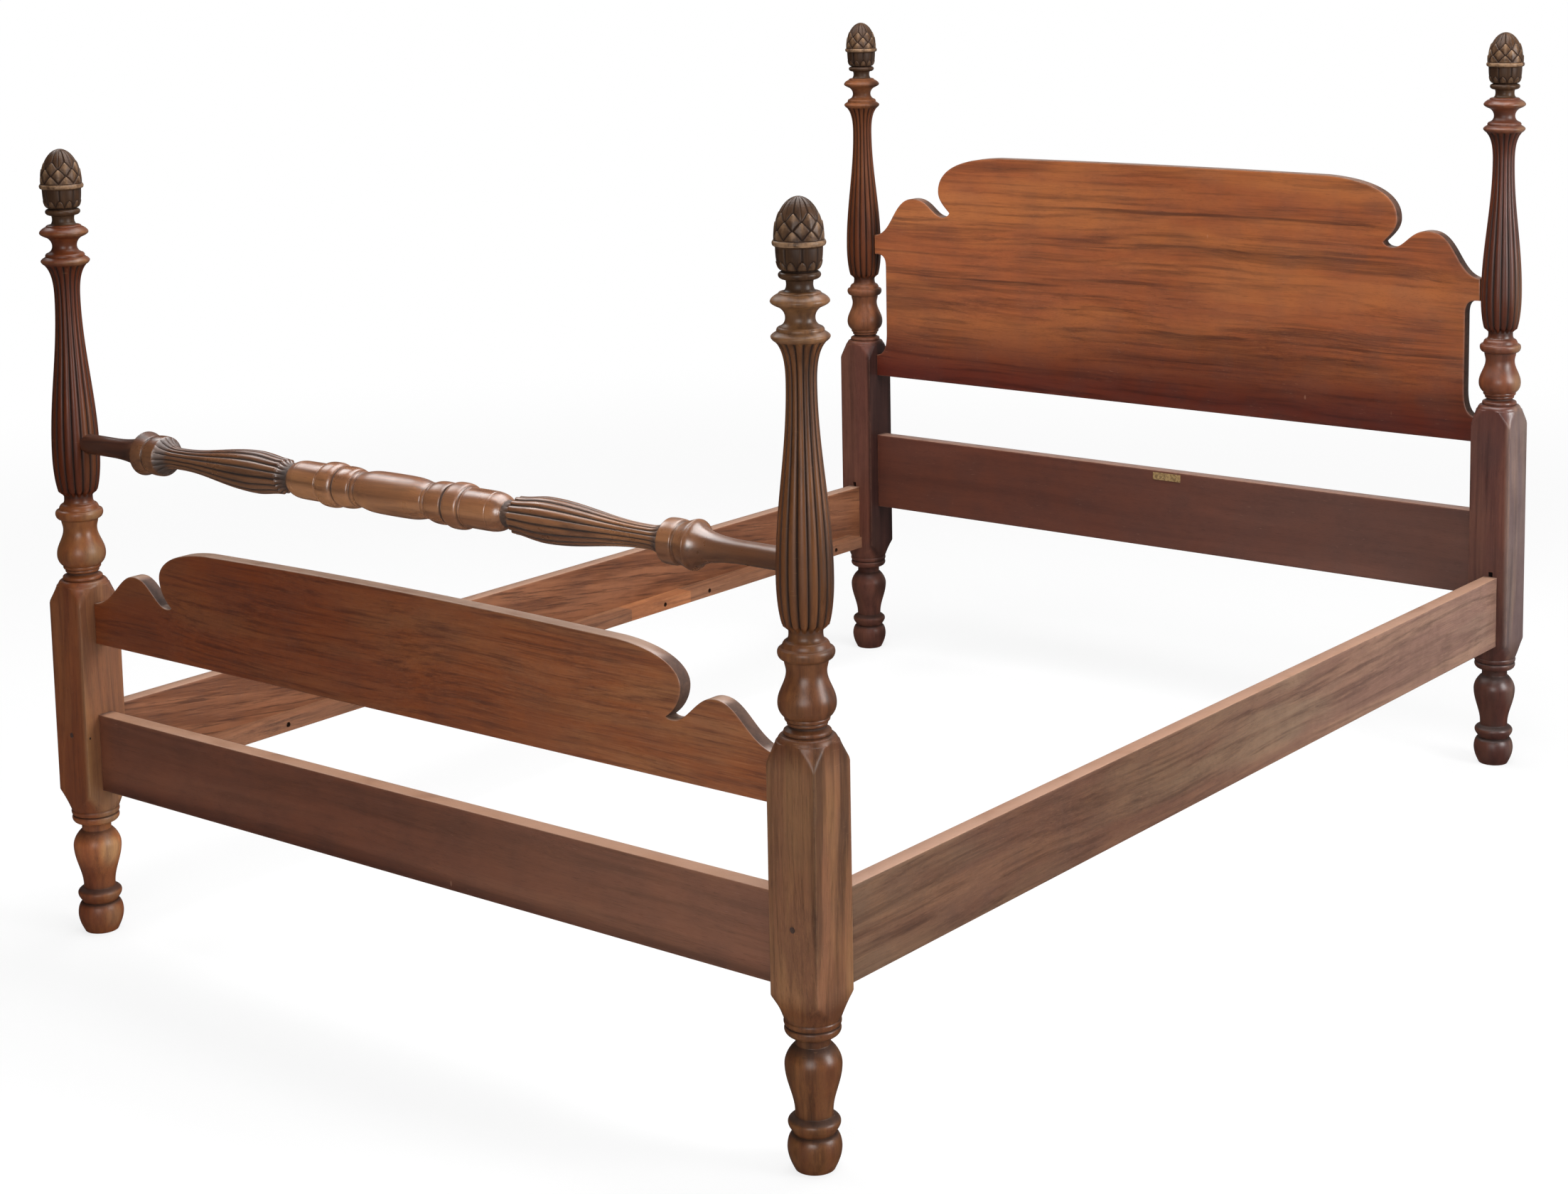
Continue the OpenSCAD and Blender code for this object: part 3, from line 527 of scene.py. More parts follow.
def blanket_piece():
    half = eased(blanket_outline(), ease=0.35)
    outline = np.concatenate([half[::-1] * [1, -1], half[1:]])
    r, x = outline[:, 0:1], outline[:, 1:2]
    away = np.abs(x) / ROD_SCALE
    turn = REED_TURN
    phase = reed_phase(turn, REEDS)

    # the reeds of the two bulbs, with round tips toward the middle
    reeded = (away > BULB_FROM - 0.5) & (away < BULB_TO + 0.5)
    tip = 2.5 * phase ** 2 * (1 - smooth(BULB_FROM, BULB_FROM + 32, away))
    drawn_in = np.interp(np.maximum(away - tip, BULB_FROM - 1) * ROD_SCALE,
                         half[:, 1], half[:, 0])
    radius = np.where(reeded & (away < 300), drawn_in, r + 0 * turn)
    groove = reed_groove(phase)
    fade = (smooth(BULB_FROM, BULB_FROM + 16, away - tip)
            * (1 - smooth(BULB_TO - 2, BULB_TO + 0.5, away)))
    radius = radius - RAIL_REED_DEPTH * np.clip(radius, 16, 26) * fade * reeded * groove

    def lay(p):
        return np.stack([p[:, 2], p[:, 0] - HALF_RUN, p[:, 1] + BLANKET_Z], axis=1)
    points, faces = round_grid(radius, x + 0 * turn, turn, lay)

    # dark glazing and painted shade in the grooves and narrows, and painted shade at both ends of
    # the reeds
    proud = relief(outline, 3.0, 1.6) * (1 - reeded)
    recess = np.maximum(smooth(0.04, 0.66, groove) * fade * reeded,
                        NARROWS_GLAZE_AND_SHADE * smooth(0.15, 0.9, -proud))
    # painted shade over the flares where the reeds run out
    flare = smooth(BULB_TO - 26, BULB_TO - 10, away) * (1 - smooth(BULB_TO - 1, BULB_TO + 1, away))
    recess = np.maximum(recess, FLARES_SHADE * flare)
    recess = np.maximum(recess, NARROWS_GLAZE_AND_SHADE * reeded
                        * (1 - smooth(BULB_FROM + 5, BULB_FROM + 24, away)))
    # wear and painted highlight on the proud rings
    arris = 0.5 * smooth(0.2, 1.0, proud) + 0 * turn

    # the stain on barrel, bulb, end bead, trumpet and rod, deeper on the left half
    part = np.interp(away, [BULB_FROM - 8, BULB_FROM + 4, BULB_TO - 6, BULB_TO + 2,
                            BULB_TO + 26, BULB_TO + 42, BULB_TO + 74], [0, 1, 1, 2, 2, 3, 4])
    left_half = smooth(20, -20, x)
    toned = (np.interp(part, [0, 1, 2, 3, 4], [0, 0.55, 0.6, 0.8, 1.0]) * left_half
             + np.interp(part, [0, 1, 2, 3, 4], [0, 0.35, 0.25, 0.5, 0.7]) * (1 - left_half)
             + 0 * turn)
    return new_piece("turned_blanket_rail", points, faces,
                     {"recess": capped(recess), "arris": capped(arris),
                      "toned": capped(toned)})


def eased_plank(name, outline, middle, thickness, lay, ease=BOARD_EASE, sawn=0):
    """A flat board with softened arrises. The outline runs anticlockwise.

    sawn is -1 or 1 where the face on that side was left as it came from the saw.
    """
    p = np.array(outline, float)
    p = p[np.linalg.norm(p - np.roll(p, 1, axis=0), axis=1) > 0.05]
    ahead = np.roll(p, -1, axis=0) - p
    ahead /= np.linalg.norm(ahead, axis=1)[:, None]
    behind = np.roll(ahead, 1, axis=0)
    normal = np.stack([ahead[:, 1] + behind[:, 1], -ahead[:, 0] - behind[:, 0]], axis=1)
    normal /= np.maximum(np.linalg.norm(normal, axis=1), 0.6)[:, None]
    half = thickness / 2
    # each loop: inset from the outline, depth from the middle, wear
    loops = [(4.5, -half, 0.0), (ease, -half, 0.2), (ease * 0.3, -half + ease * 0.3, 0.8),
             (0.0, -half + ease, 0.3), (0.0, half - ease, 0.3),
             (ease * 0.3, half - ease * 0.3, 0.8), (ease, half, 0.2), (4.5, half, 0.0)]
    # painted highlight: the edges that face up take a pale top colour
    upward = smooth(0.88, 0.998, normal[:, 1])
    points, wear, edge_shade, top_highlight, rough = [], [], [], [], []
    for inset, depth, worn in loops:
        points.append(np.column_stack([p - normal * inset, np.full(len(p), middle + depth)]))
        wear += [worn] * len(p)
        top_highlight += list(upward * (worn > 0.25))
        # painted shade on the edges that don't face up
        edge_shade += list(0.95 * (1 - upward) * (worn > 0.25) * (worn < 0.7))
        rough += [float(depth * sawn > 0)] * len(p)
    points = lay(np.concatenate(points))
    n = len(p)
    faces = []
    for k in range(len(loops) - 1):
        a, b = k * n, (k + 1) * n
        faces += [(a + i, a + (i + 1) % n, b + (i + 1) % n, b + i) for i in range(n)]
    faces.append(tuple(range(n))[::-1])
    faces.append(tuple((len(loops) - 1) * n + i for i in range(n)))
    piece = new_piece(name, points, faces,
                      {"arris": wear, "recess": edge_shade, "top_highlight": top_highlight,
                       "sawn": rough})
    outward(piece)
    return piece


def outward(piece):
    """Turns every face to look out of the piece."""
    work = bmesh.new()
    work.from_mesh(piece.data)
    bmesh.ops.recalc_face_normals(work, faces=work.faces)
    work.to_mesh(piece.data)
    work.free()


def crest(top, drop, reach):
    """The low bow along a board's top, from its middle out to reach."""
    return curve([0, top], [reach * 0.45, top], [reach * 0.7, top - drop * 0.5],
                 [reach, top - drop], 30)


def footboard_edge():
    c, z, x = CREST_HALF, FOOTBOARD_TOP, INNER_X
    return (crest(z, 5, c - 105)
            + curve([c - 105, z - 5], [c - 35, z - 9], [c + 1, z - 29], [c + 1, z - 53])
            + curve([c + 1, z - 53], [c + 1, z - 69], [c - 9, z - 85], [c - 24, z - 95])
            + curve([c - 24, z - 95], [c - 18, z - 98], [c - 9, z - 98], [c, z - 94], 8)
            + curve([c, z - 94], [c + 17, z - 85], [c + 33, z - 58.5], [c + 58, z - 58.5])
            + curve([c + 58, z - 58.5], [c + 97, z - 58.5], [x - 51, z - 108.5],
                    [RAIL_END, z - 113]))


def headboard_edge():
    c, z, x = CREST_HALF, HEADBOARD_TOP, EAR_X
    return (crest(z, 2, c - 145)
            + curve([c - 145, z - 2], [c - 65, z - 6], [c - 1, z - 26], [c - 1, z - 75], 26)
            + curve([c - 1, z - 75], [c - 1, z - 93], [c - 15, z - 105], [c - 28, z - 117.5])
            + curve([c - 28, z - 117.5], [c - 26, z - 123], [c - 20, z - 126.5],
                    [c - 11, z - 126.5], 8)
            + curve([c - 11, z - 126.5], [c + 15, z - 126.5], [c + 23, z - 93], [c + 60, z - 93])
            + curve([c + 60, z - 93], [c + 114, z - 93], [x - 47, EAR_HIGH + 4], [x, EAR_HIGH]))


def headboard_side():
    x, z = INNER_X, HEADBOARD_LOW
    return (curve([EAR_X, EAR_LOW], [EAR_X - 24, EAR_LOW + 1], [WAIST_X, EAR_LOW - 9],
                  [WAIST_X, EAR_LOW - 28])
            + curve([WAIST_X, z + 94], [WAIST_X, z + 60], [x - 19, z + BOARD_FOOT + 3],
                    [RAIL_END, z + BOARD_FOOT])
            + [[RAIL_END, z]])


def both_halves(right):
    """The right half mirrored to the left; the loop runs anticlockwise from the left."""
    loop = right + [[-x, z] for x, z in right[::-1]]
    return loop[::-1]


def across_bed(y):
    return lambda p: np.stack([p[:, 0], p[:, 2] + y, p[:, 1]], axis=1)


def along_bed(p):
    return np.stack([p[:, 2], p[:, 0], p[:, 1]], axis=1)


def rectangle(x0, x1, z0, z1, near=12):
    """A rectangle with a point near each corner too, so that wear can differ on each side."""
    return [[x0, z0], [x0 + near, z0], [x1 - near, z0], [x1, z0], [x1, z0 + near],
            [x1, z1 - near], [x1, z1], [x1 - near, z1], [x0 + near, z1], [x0, z1],
            [x0, z1 - near], [x0, z0 + near]]


# ------------------------------------------------------------------ shader groups
class Graph:
    """Short calls for placing and joining shader nodes."""

    def __init__(self, tree):
        self.tree = tree

    def add(self, kind, inputs=None, **settings):
        node = self.tree.nodes.new("ShaderNode" + kind)
        for key, value in settings.items():
            setattr(node, key, value)
        for key, value in (inputs or {}).items():
            self.feed(node.inputs[key], value)
        return node

    def feed(self, socket, value):
        if isinstance(value, bpy.types.NodeSocket):
            self.tree.links.new(value, socket)
        else:
            socket.default_value = value

    def maths(self, operation, a, b):
        return self.add("Math", {0: a, 1: b}, operation=operation).outputs[0]

    def blend(self, kind, amount, a, b):
        node = self.add("Mix", data_type="RGBA", blend_type=kind, clamp_factor=True)
        for socket, value in ((node.inputs[0], amount), (node.inputs[6], a), (node.inputs[7], b)):
            self.feed(socket, value)
        return node.outputs[2]

    def between(self, value, low, high, to_low=0.0, to_high=1.0):
        node = self.add("MapRange", {"Value": value, "From Min": low, "From Max": high,
                                     "To Min": to_low, "To Max": to_high},
                        interpolation_type="SMOOTHSTEP")
        return node.outputs["Result"]

    def stretch(self, vector, scale):
        return self.add("VectorMath", {0: vector, 1: scale}, operation="MULTIPLY").outputs[0]

    def noise(self, vector, scale, detail=3.0, roughness=0.5, distortion=0.0):
        node = self.add("TexNoise", {"Vector": vector, "Scale": scale, "Detail": detail,
                                     "Roughness": roughness, "Distortion": distortion})
        return node.outputs["Fac"]


def new_group(name, inputs, outputs):
    tree = bpy.data.node_groups.new(name, "ShaderNodeTree")
    for way, sockets in (("INPUT", inputs), ("OUTPUT", outputs)):
        for label, kind, default in sockets:
            socket = tree.interface.new_socket(label, in_out=way, socket_type="NodeSocket" + kind)
            if default is not None:
                socket.default_value = default
    return Graph(tree), tree.nodes.new("NodeGroupInput"), tree.nodes.new("NodeGroupOutput")


def wood_figure():
    """Streaks, fibres and pores that run along the X axis of Place."""
    g, entry, result = new_group(
        "wood_figure",
        [("Place", "Vector", None), ("Pale", "Color", (0.2, 0.09, 0.04, 1)),
         ("Body", "Color", (0.12, 0.045, 0.02, 1)), ("Dark", "Color", (0.04, 0.015, 0.01, 1)),
         ("Tint", "Color", (0.15, 0.06, 0.02, 1)), ("Tint Amount", "Float", 0.0),
         ("Streaks", "Float", 0.6), ("Fibres", "Float", 0.4), ("Pores", "Float", 0.4),
         ("Veins", "Float", 0.3), ("Breadth", "Float", 1.0)],
        [("Color", "Color", None), ("Height", "Float", None)])
    place, breadth = entry.outputs["Place"], entry.outputs["Breadth"]

    # noises from broad to fine, drawn out along the grain and led astray a little
    wander = g.noise(g.stretch(place, (1.3, 4.0, 4.0)), 1.0, 2.0)
    shift = g.add("CombineXYZ", {"Y": g.maths("MULTIPLY", wander, 0.09),
                                 "Z": g.maths("MULTIPLY", wander, 0.06)}).outputs[0]
    bent = g.add("VectorMath", {0: place, 1: shift}, operation="ADD").outputs[0]
    broad = g.noise(g.stretch(bent, (1.6, 26.0, 26.0)), breadth, 3.0, 0.6)
    patch = g.noise(g.stretch(bent, (1.9, 11.0, 11.0)), breadth, 3.0, 0.55)
    narrow = g.noise(g.stretch(bent, (3.2, 130.0, 130.0)), breadth, 4.0, 0.6)
    fibre = g.noise(g.stretch(bent, (11.0, 640.0, 640.0)), 1.0, 3.0, 0.6)
    pore = g.noise(g.stretch(bent, (42.0, 1500.0, 1500.0)), 1.0, 1.0, 0.5)

    tinted = g.maths("MULTIPLY", g.between(patch, 0.42, 0.62), entry.outputs["Tint Amount"])
    body = g.blend("MIX", tinted, entry.outputs["Body"], entry.outputs["Tint"])

    # broad streaks, fine lines, a few dark veins, pale threads and open pores
    light = g.maths("MULTIPLY", g.between(broad, 0.50, 0.70), entry.outputs["Streaks"])
    dark = g.maths("MULTIPLY", g.between(broad, 0.47, 0.30), entry.outputs["Streaks"])
    colour = g.blend("MIX", light, body, entry.outputs["Pale"])
    colour = g.blend("MIX", dark, colour, entry.outputs["Dark"])
    fine = g.maths("MULTIPLY", g.between(narrow, 0.56, 0.30), entry.outputs["Fibres"])
    colour = g.blend("MIX", fine, colour, entry.outputs["Dark"])
    rare = g.noise(g.stretch(bent, (0.9, 60.0, 60.0)), breadth, 2.0, 0.7)
    vein = g.maths("MULTIPLY", g.between(rare, 0.60, 0.72), entry.outputs["Veins"])
    colour = g.blend("MIX", vein, colour, entry.outputs["Dark"])
    thread = g.maths("MULTIPLY", g.between(fibre, 0.45, 0.75),
                     g.maths("MULTIPLY", entry.outputs["Fibres"], 0.6))
    colour = g.blend("MIX", thread, colour, entry.outputs["Pale"])
    pit = g.maths("MULTIPLY", g.between(pore, 0.60, 0.70), entry.outputs["Pores"])
    colour = g.blend("MULTIPLY", pit, colour, (0.35, 0.30, 0.28, 1))
    height = g.maths("SUBTRACT", g.maths("MULTIPLY", narrow, 0.4), pit)
    g.tree.links.new(colour, result.inputs["Color"])
    g.tree.links.new(height, result.inputs["Height"])
    return g.tree


def aged_finish_and_painted_light():
    """Dark glazing and painted shade in the recesses, a painted highlight on top edges, worn
    arrises, worn rims with a painted highlight, small scuffs and uneven gloss.
    """
    g, entry, result = new_group(
        "aged_finish_and_painted_light",
        [("Place", "Vector", None), ("Color", "Color", (0.1, 0.05, 0.02, 1)),
         ("Glaze And Shade", "Color", (0.02, 0.01, 0.006, 1)), ("Rubbed And Highlight", "Color", (0.3, 0.16, 0.1, 1)),
         ("Recess", "Float", 0.0), ("Arris", "Float", 0.0), ("Toned", "Float", 0.0),
         ("Stain", "Color", (0.6, 0.5, 0.4, 1)), ("Top Highlight", "Float", 0.0),
         ("Top Highlight Color", "Color", (0.4, 0.25, 0.18, 1)),
         ("Wear", "Float", 0.4), ("Scuffs", "Float", 0.3), ("Smooth Gloss", "Float", 0.25),
         ("Dull Gloss", "Float", 0.45)],
        [("Color", "Color", None), ("Roughness", "Float", None)])
    place = entry.outputs["Place"]
    patch = g.noise(place, 16.0, 4.0, 0.6)

    # where the dark glazing and painted shade go: the marked recesses, and painted shade from
    # ambient occlusion in any other nook
    nook = g.add("AmbientOcclusion", {"Distance": 0.014}, samples=8, only_local=True)
    occlusion_shade = g.between(nook.outputs["AO"], 0.80, 0.30)
    recess = g.maths("MAXIMUM", entry.outputs["Recess"], occlusion_shade)
    recess = g.maths("MULTIPLY", recess, g.between(patch, 0.2, 0.6, 0.80, 1.0))

    # worn arrises, worn rims that also carry a painted highlight, small knocks and fine scratches
    rub = g.maths("MULTIPLY", entry.outputs["Arris"], entry.outputs["Wear"])
    rub = g.maths("MULTIPLY", rub, g.between(g.noise(place, 70.0, 4.0, 0.7), 0.32, 0.62))
    cells = g.add("TexVoronoi", {"Vector": g.stretch(place, (1.0, 1.0, 0.45)), "Scale": 34.0})
    chosen = g.between(g.add("SeparateColor", {0: cells.outputs["Color"]}).outputs[0], 0.90, 0.93)
    speck = g.maths("MULTIPLY", g.between(cells.outputs["Distance"], 0.085, 0.03), chosen)
    line = g.noise(g.stretch(place, (70.0, 70.0, 900.0)), 1.0, 1.0)
    scratch = g.maths("MULTIPLY", g.between(line, 0.735, 0.76), g.between(patch, 0.5, 0.6))
    scuff = g.maths("MULTIPLY", g.maths("MAXIMUM", speck, scratch), entry.outputs["Scuffs"])

    # the wood clouded and toned, with a painted highlight on the top edges, then the dark glazing
    # and painted shade and the rubbing, with a painted highlight on rims, over it
    cloudy = g.blend("MULTIPLY", g.between(patch, 0.35, 0.7, 0.0, 0.3),
                     entry.outputs["Color"], (0.62, 0.58, 0.55, 1))
    toned = g.blend("MULTIPLY", entry.outputs["Toned"], cloudy, entry.outputs["Stain"])
    # painted highlight on the edges of boards and rails that face up
    bare = g.maths("MULTIPLY", entry.outputs["Top Highlight"], g.between(patch, 0.2, 0.5, 0.6, 1.0))
    toned = g.blend("MIX", bare, toned, entry.outputs["Top Highlight Color"])
    # the near-black colour darkens glazing and painted shade alike
    colour = g.blend("MIX", g.maths("MULTIPLY", recess, 0.88), toned, entry.outputs["Glaze And Shade"])
    colour = g.blend("MIX", g.maths("MAXIMUM", rub, scuff), colour, entry.outputs["Rubbed And Highlight"])
    gloss = g.between(patch, 0.3, 0.7, entry.outputs["Smooth Gloss"], entry.outputs["Dull Gloss"])
    rough = g.maths("MAXIMUM", gloss, g.maths("MULTIPLY", recess, 0.85))
    g.tree.links.new(colour, result.inputs["Color"])
    g.tree.links.new(rough, result.inputs["Roughness"])
    return g.tree


def sawn_face():
    """Bare rough-sawn wood: torn grain along the X axis of Place under slanting saw marks."""
    g, entry, result = new_group(
        "sawn_face",
        [("Place", "Vector", None), ("Pale", "Color", (0.36, 0.16, 0.08, 1)),
         ("Body", "Color", (0.20, 0.075, 0.035, 1)), ("Dark", "Color", (0.06, 0.022, 0.012, 1))],
        [("Color", "Color", None), ("Height", "Float", None)])
    place = entry.outputs["Place"]
    leaning = g.add("Mapping", {"Vector": place, "Rotation": (0, radians(7), 0)}).outputs[0]
    wide = g.noise(g.stretch(leaning, (2.4, 30.0, 30.0)), 1.0, 4.0, 0.65, 0.5)
    torn = g.noise(g.stretch(leaning, (9.0, 230.0, 230.0)), 1.0, 4.0, 0.7)
    hair = g.noise(g.stretch(leaning, (16.0, 700.0, 700.0)), 1.0, 2.0, 0.6)
    colour = g.blend("MIX", g.between(wide, 0.44, 0.64), entry.outputs["Body"],
                     entry.outputs["Pale"])
    colour = g.blend("MIX", g.between(wide, 0.42, 0.26, 0.0, 0.6), colour,
                     entry.outputs["Dark"])
    colour = g.blend("MIX", g.between(torn, 0.50, 0.34, 0.0, 0.7), colour,
                     entry.outputs["Dark"])
    colour = g.blend("MIX", g.between(hair, 0.52, 0.75, 0.0, 0.8), colour,
                     entry.outputs["Pale"])
    g.tree.links.new(colour, result.inputs["Color"])
    g.tree.links.new(torn, result.inputs["Height"])
    return g.tree


FIGURE = wood_figure()
SAWN = sawn_face()
FINISH = aged_finish_and_painted_light()
TURNED_TO = {"X": (0, 0, 0), "Y": (0, 0, radians(90)), "Z": (0, radians(90), 0)}
NEAR_BLACK = (0.012, 0.006, 0.004)
BARE_EDGE = (0.32, 0.17, 0.11)
# painted highlight along the top edges of boards and rails
TOP_HIGHLIGHT = (0.38, 0.23, 0.165)
DEEP_STAIN = (0.55, 0.40, 0.30)


def wood(name, along, pale, body, dark, tint=None, streaks=0.6, fibres=0.4, pores=0.4,
         veins=0.3, breadth=1.0, wear=0.4, scuffs=0.3, glaze_and_shade=NEAR_BLACK, rubbed_and_highlight=BARE_EDGE,
         gloss=(0.28, 0.44), bump=0.12, shine=0.5, stain=DEEP_STAIN, top=TOP_HIGHLIGHT,
         fades=(), sawn=None):
    """Finished wood with its grain along one axis of the bed.

    fades are (axis, from, to, colour): the colour multiplies the wood more and more from
    one place to the other, in metres. sawn gives the pale, body and dark of a rough face.
    """
    material = bpy.data.materials.new(name)
    material.use_nodes = True
    g = Graph(material.node_tree)
    shader = material.node_tree.nodes["Principled BSDF"]
    where = g.add("TexCoord").outputs["Object"]
    place = g.add("Mapping", {"Vector": where, "Rotation": TURNED_TO[along]}).outputs[0]
    figure = g.add("Group", node_tree=FIGURE)
    for key, value in (("Place", place), ("Pale", (*pale, 1)), ("Body", (*body, 1)),
                       ("Dark", (*dark, 1)), ("Tint", (*(tint or body), 1)),
                       ("Tint Amount", 1.0 if tint else 0.0), ("Streaks", streaks),
                       ("Fibres", fibres), ("Pores", pores), ("Veins", veins),
                       ("Breadth", breadth)):
        g.feed(figure.inputs[key], value)
    colour = figure.outputs["Color"]
    for axis, start, full, shade in fades:
        spot = g.add("SeparateXYZ", {0: where}).outputs[axis]
        colour = g.blend("MULTIPLY", g.between(spot, start, full), colour, (*shade, 1))
    if sawn:
        rough = g.add("Group", {"Place": place}, node_tree=SAWN)
        for key, value in zip(("Pale", "Body", "Dark"), sawn):
            g.feed(rough.inputs[key], (*value, 1))
        side = g.add("Attribute", attribute_name="sawn").outputs["Fac"]
        colour = g.blend("MIX", side, colour, rough.outputs["Color"])
    finish = g.add("Group", node_tree=FINISH)
    top_highlight = g.add("Attribute", attribute_name="top_highlight").outputs["Fac"]
    toned = g.add("Attribute", attribute_name="toned").outputs["Fac"]
    recess = g.add("Attribute", attribute_name="recess").outputs["Fac"]
    arris = g.add("Attribute", attribute_name="arris").outputs["Fac"]
    for key, value in (("Place", where), ("Color", colour), ("Glaze And Shade", (*glaze_and_shade, 1)),
                       ("Rubbed And Highlight", (*rubbed_and_highlight, 1)), ("Recess", recess), ("Arris", arris),
                       ("Toned", toned), ("Stain", (*stain, 1)), ("Top Highlight", top_highlight),
                       ("Top Highlight Color", (*top, 1)), ("Wear", wear), ("Scuffs", scuffs),
                       ("Smooth Gloss", gloss[0]), ("Dull Gloss", gloss[1])):
        g.feed(finish.inputs[key], value)
    grain = g.add("Bump", {"Strength": bump, "Distance": 0.0006,
                           "Height": figure.outputs["Height"]})
    g.feed(shader.inputs["Base Color"], finish.outputs["Color"])
    g.feed(shader.inputs["Roughness"], finish.outputs["Roughness"])
    g.feed(shader.inputs["Normal"], grain.outputs[0])
    g.feed(shader.inputs["Specular IOR Level"], shine)
    return material


def metal(name, bright, dull, roughness, bare=1.0):
    """Worn metal, darker in patches."""
    material = bpy.data.materials.new(name)
    material.use_nodes = True
    g = Graph(material.node_tree)
    shader = material.node_tree.nodes["Principled BSDF"]
    where = g.add("TexCoord").outputs["Object"]
    patch = g.noise(where, 180.0, 5.0, 0.65)
    colour = g.blend("MIX", g.between(patch, 0.38, 0.62), (*bright, 1), (*dull, 1))
    g.feed(shader.inputs["Base Color"], colour)
    g.feed(shader.inputs["Roughness"], g.between(patch, 0.3, 0.7, roughness, roughness + 0.25))
    g.feed(shader.inputs["Metallic"], bare)
    pits = g.add("Bump", {"Strength": 0.2, "Distance": 0.0003, "Height": patch})
    g.feed(shader.inputs["Normal"], pits.outputs[0])
    return material


def finish_with(piece, material):
    piece.data.materials.clear()
    piece.data.materials.append(material)


# ------------------------------------------------------------------ finishes
GOLDEN_TAN = (0.24, 0.130, 0.060)
POLISHED = (0.30, 0.44)
GOLDEN_POST = wood("golden_post", "Z", (0.28, 0.140, 0.055), (0.146, 0.062, 0.031),
                   (0.030, 0.014, 0.008), tint=(0.170, 0.084, 0.036), streaks=0.65,
                   fibres=0.4, veins=0.4, shine=0.27, rubbed_and_highlight=GOLDEN_TAN, wear=0.45,
                   gloss=POLISHED, stain=(0.50, 0.33, 0.20))
WARM_POST = wood("warm_post", "Z", (0.24, 0.080, 0.024), (0.132, 0.036, 0.013),
                 (0.045, 0.014, 0.008), tint=(0.155, 0.051, 0.017), streaks=0.5,
                 fibres=0.35, veins=0.15, shine=0.27, rubbed_and_highlight=GOLDEN_TAN, wear=0.4,
                 gloss=POLISHED, stain=(0.46, 0.30, 0.18),
                 # painted light: the first fade lightens and greys the +X face of the block
                 fades=[("X", -0.673, -0.664, (1.2, 1.75, 2.3)),
                        ("Z", 0.20, 0.16, (1.75, 1.9, 1.8)),
                        ("Z", 0.135, 0.09, (0.55, 0.48, 0.50)),
                        ("Z", 0.565, 0.60, (1.12, 1.35, 1.3)),
                        ("Z", 0.65, 0.69, (0.89, 0.74, 0.77))])
DEEP_RED_POST = wood("deep_red_post", "Z", (0.150, 0.056, 0.036), (0.082, 0.030, 0.022),
                     (0.028, 0.012, 0.010), tint=(0.100, 0.040, 0.026), streaks=0.6,
                     fibres=0.35, shine=0.12, rubbed_and_highlight=(0.16, 0.075, 0.045), gloss=POLISHED,
                     # painted shade: the first fade darkens the +X face of the block
                     fades=[("X", -0.673, -0.664, (0.36, 0.40, 0.46)),
                            ("Z", 0.64, 0.68, (1.55, 1.5, 0.95))])
RED_POST = wood("red_post", "Z", (0.140, 0.048, 0.028), (0.066, 0.024, 0.019),
                (0.024, 0.009, 0.008), tint=(0.090, 0.036, 0.024), streaks=0.6, fibres=0.35,
                shine=0.4, rubbed_and_highlight=(0.20, 0.09, 0.045), gloss=POLISHED,
                # painted sheen: the first fade lightens and greys the +X face of the block
                fades=[("X", 0.727, 0.736, (1.5, 2.65, 3.2)),
                       ("Z", 0.64, 0.68, (1.5, 1.2, 0.7))])
CARVED = wood("carved_finial", "Z", (0.095, 0.050, 0.025), (0.044, 0.021, 0.010),
              (0.014, 0.007, 0.005), streaks=0.5, fibres=0.5, gloss=(0.30, 0.45), wear=0.85,
              rubbed_and_highlight=(0.21, 0.125, 0.07), shine=0.16)
HEADBOARD = wood("headboard", "X", (0.29, 0.096, 0.030), (0.200, 0.054, 0.018),
                 (0.047, 0.015, 0.008), tint=(0.25, 0.078, 0.023), streaks=0.5, fibres=0.55,
                 veins=0.7, breadth=0.8, top=(0.12, 0.07, 0.05),
                 # painted shade: the first fade darkens the board towards the bottom
                 fades=[("Z", 0.77, 0.60, (0.30, 0.16, 0.24)),
                        ("X", 0.1, -0.6, (1.25, 1.3, 1.35))])
FOOTBOARD = wood("footboard", "X", (0.180, 0.054, 0.018), (0.128, 0.028, 0.007),
                 (0.062, 0.015, 0.006), tint=(0.138, 0.040, 0.012), streaks=0.3, fibres=0.8,
                 veins=0.1, breadth=1.3, top=(0.27, 0.17, 0.12), wear=0.2,
                 fades=[("X", -0.3, 0.6, (1.55, 2.1, 2.6))])
HEAD_RAIL_WOOD = wood("head_rail", "X", (0.125, 0.038, 0.022), (0.082, 0.025, 0.015),
                      (0.05, 0.016, 0.011), streaks=0.5, fibres=0.3, breadth=0.6,
                      top=(0.20, 0.11, 0.08), fades=[("X", -0.3, 0.6, (1.05, 1.45, 1.7))])
FOOT_RAIL_WOOD = wood("foot_rail", "X", (0.155, 0.056, 0.029), (0.115, 0.038, 0.020),
                      (0.066, 0.024, 0.013), streaks=0.5, fibres=0.5, breadth=0.6,
                      top=(0.28, 0.150, 0.092),
                      fades=[("X", -0.2, 0.6, (1.4, 1.75, 1.9)),
                             # painted shadow: darker along the bottom of the rail
                             ("Z", 0.262, 0.232, (0.55, 0.5, 0.5))])
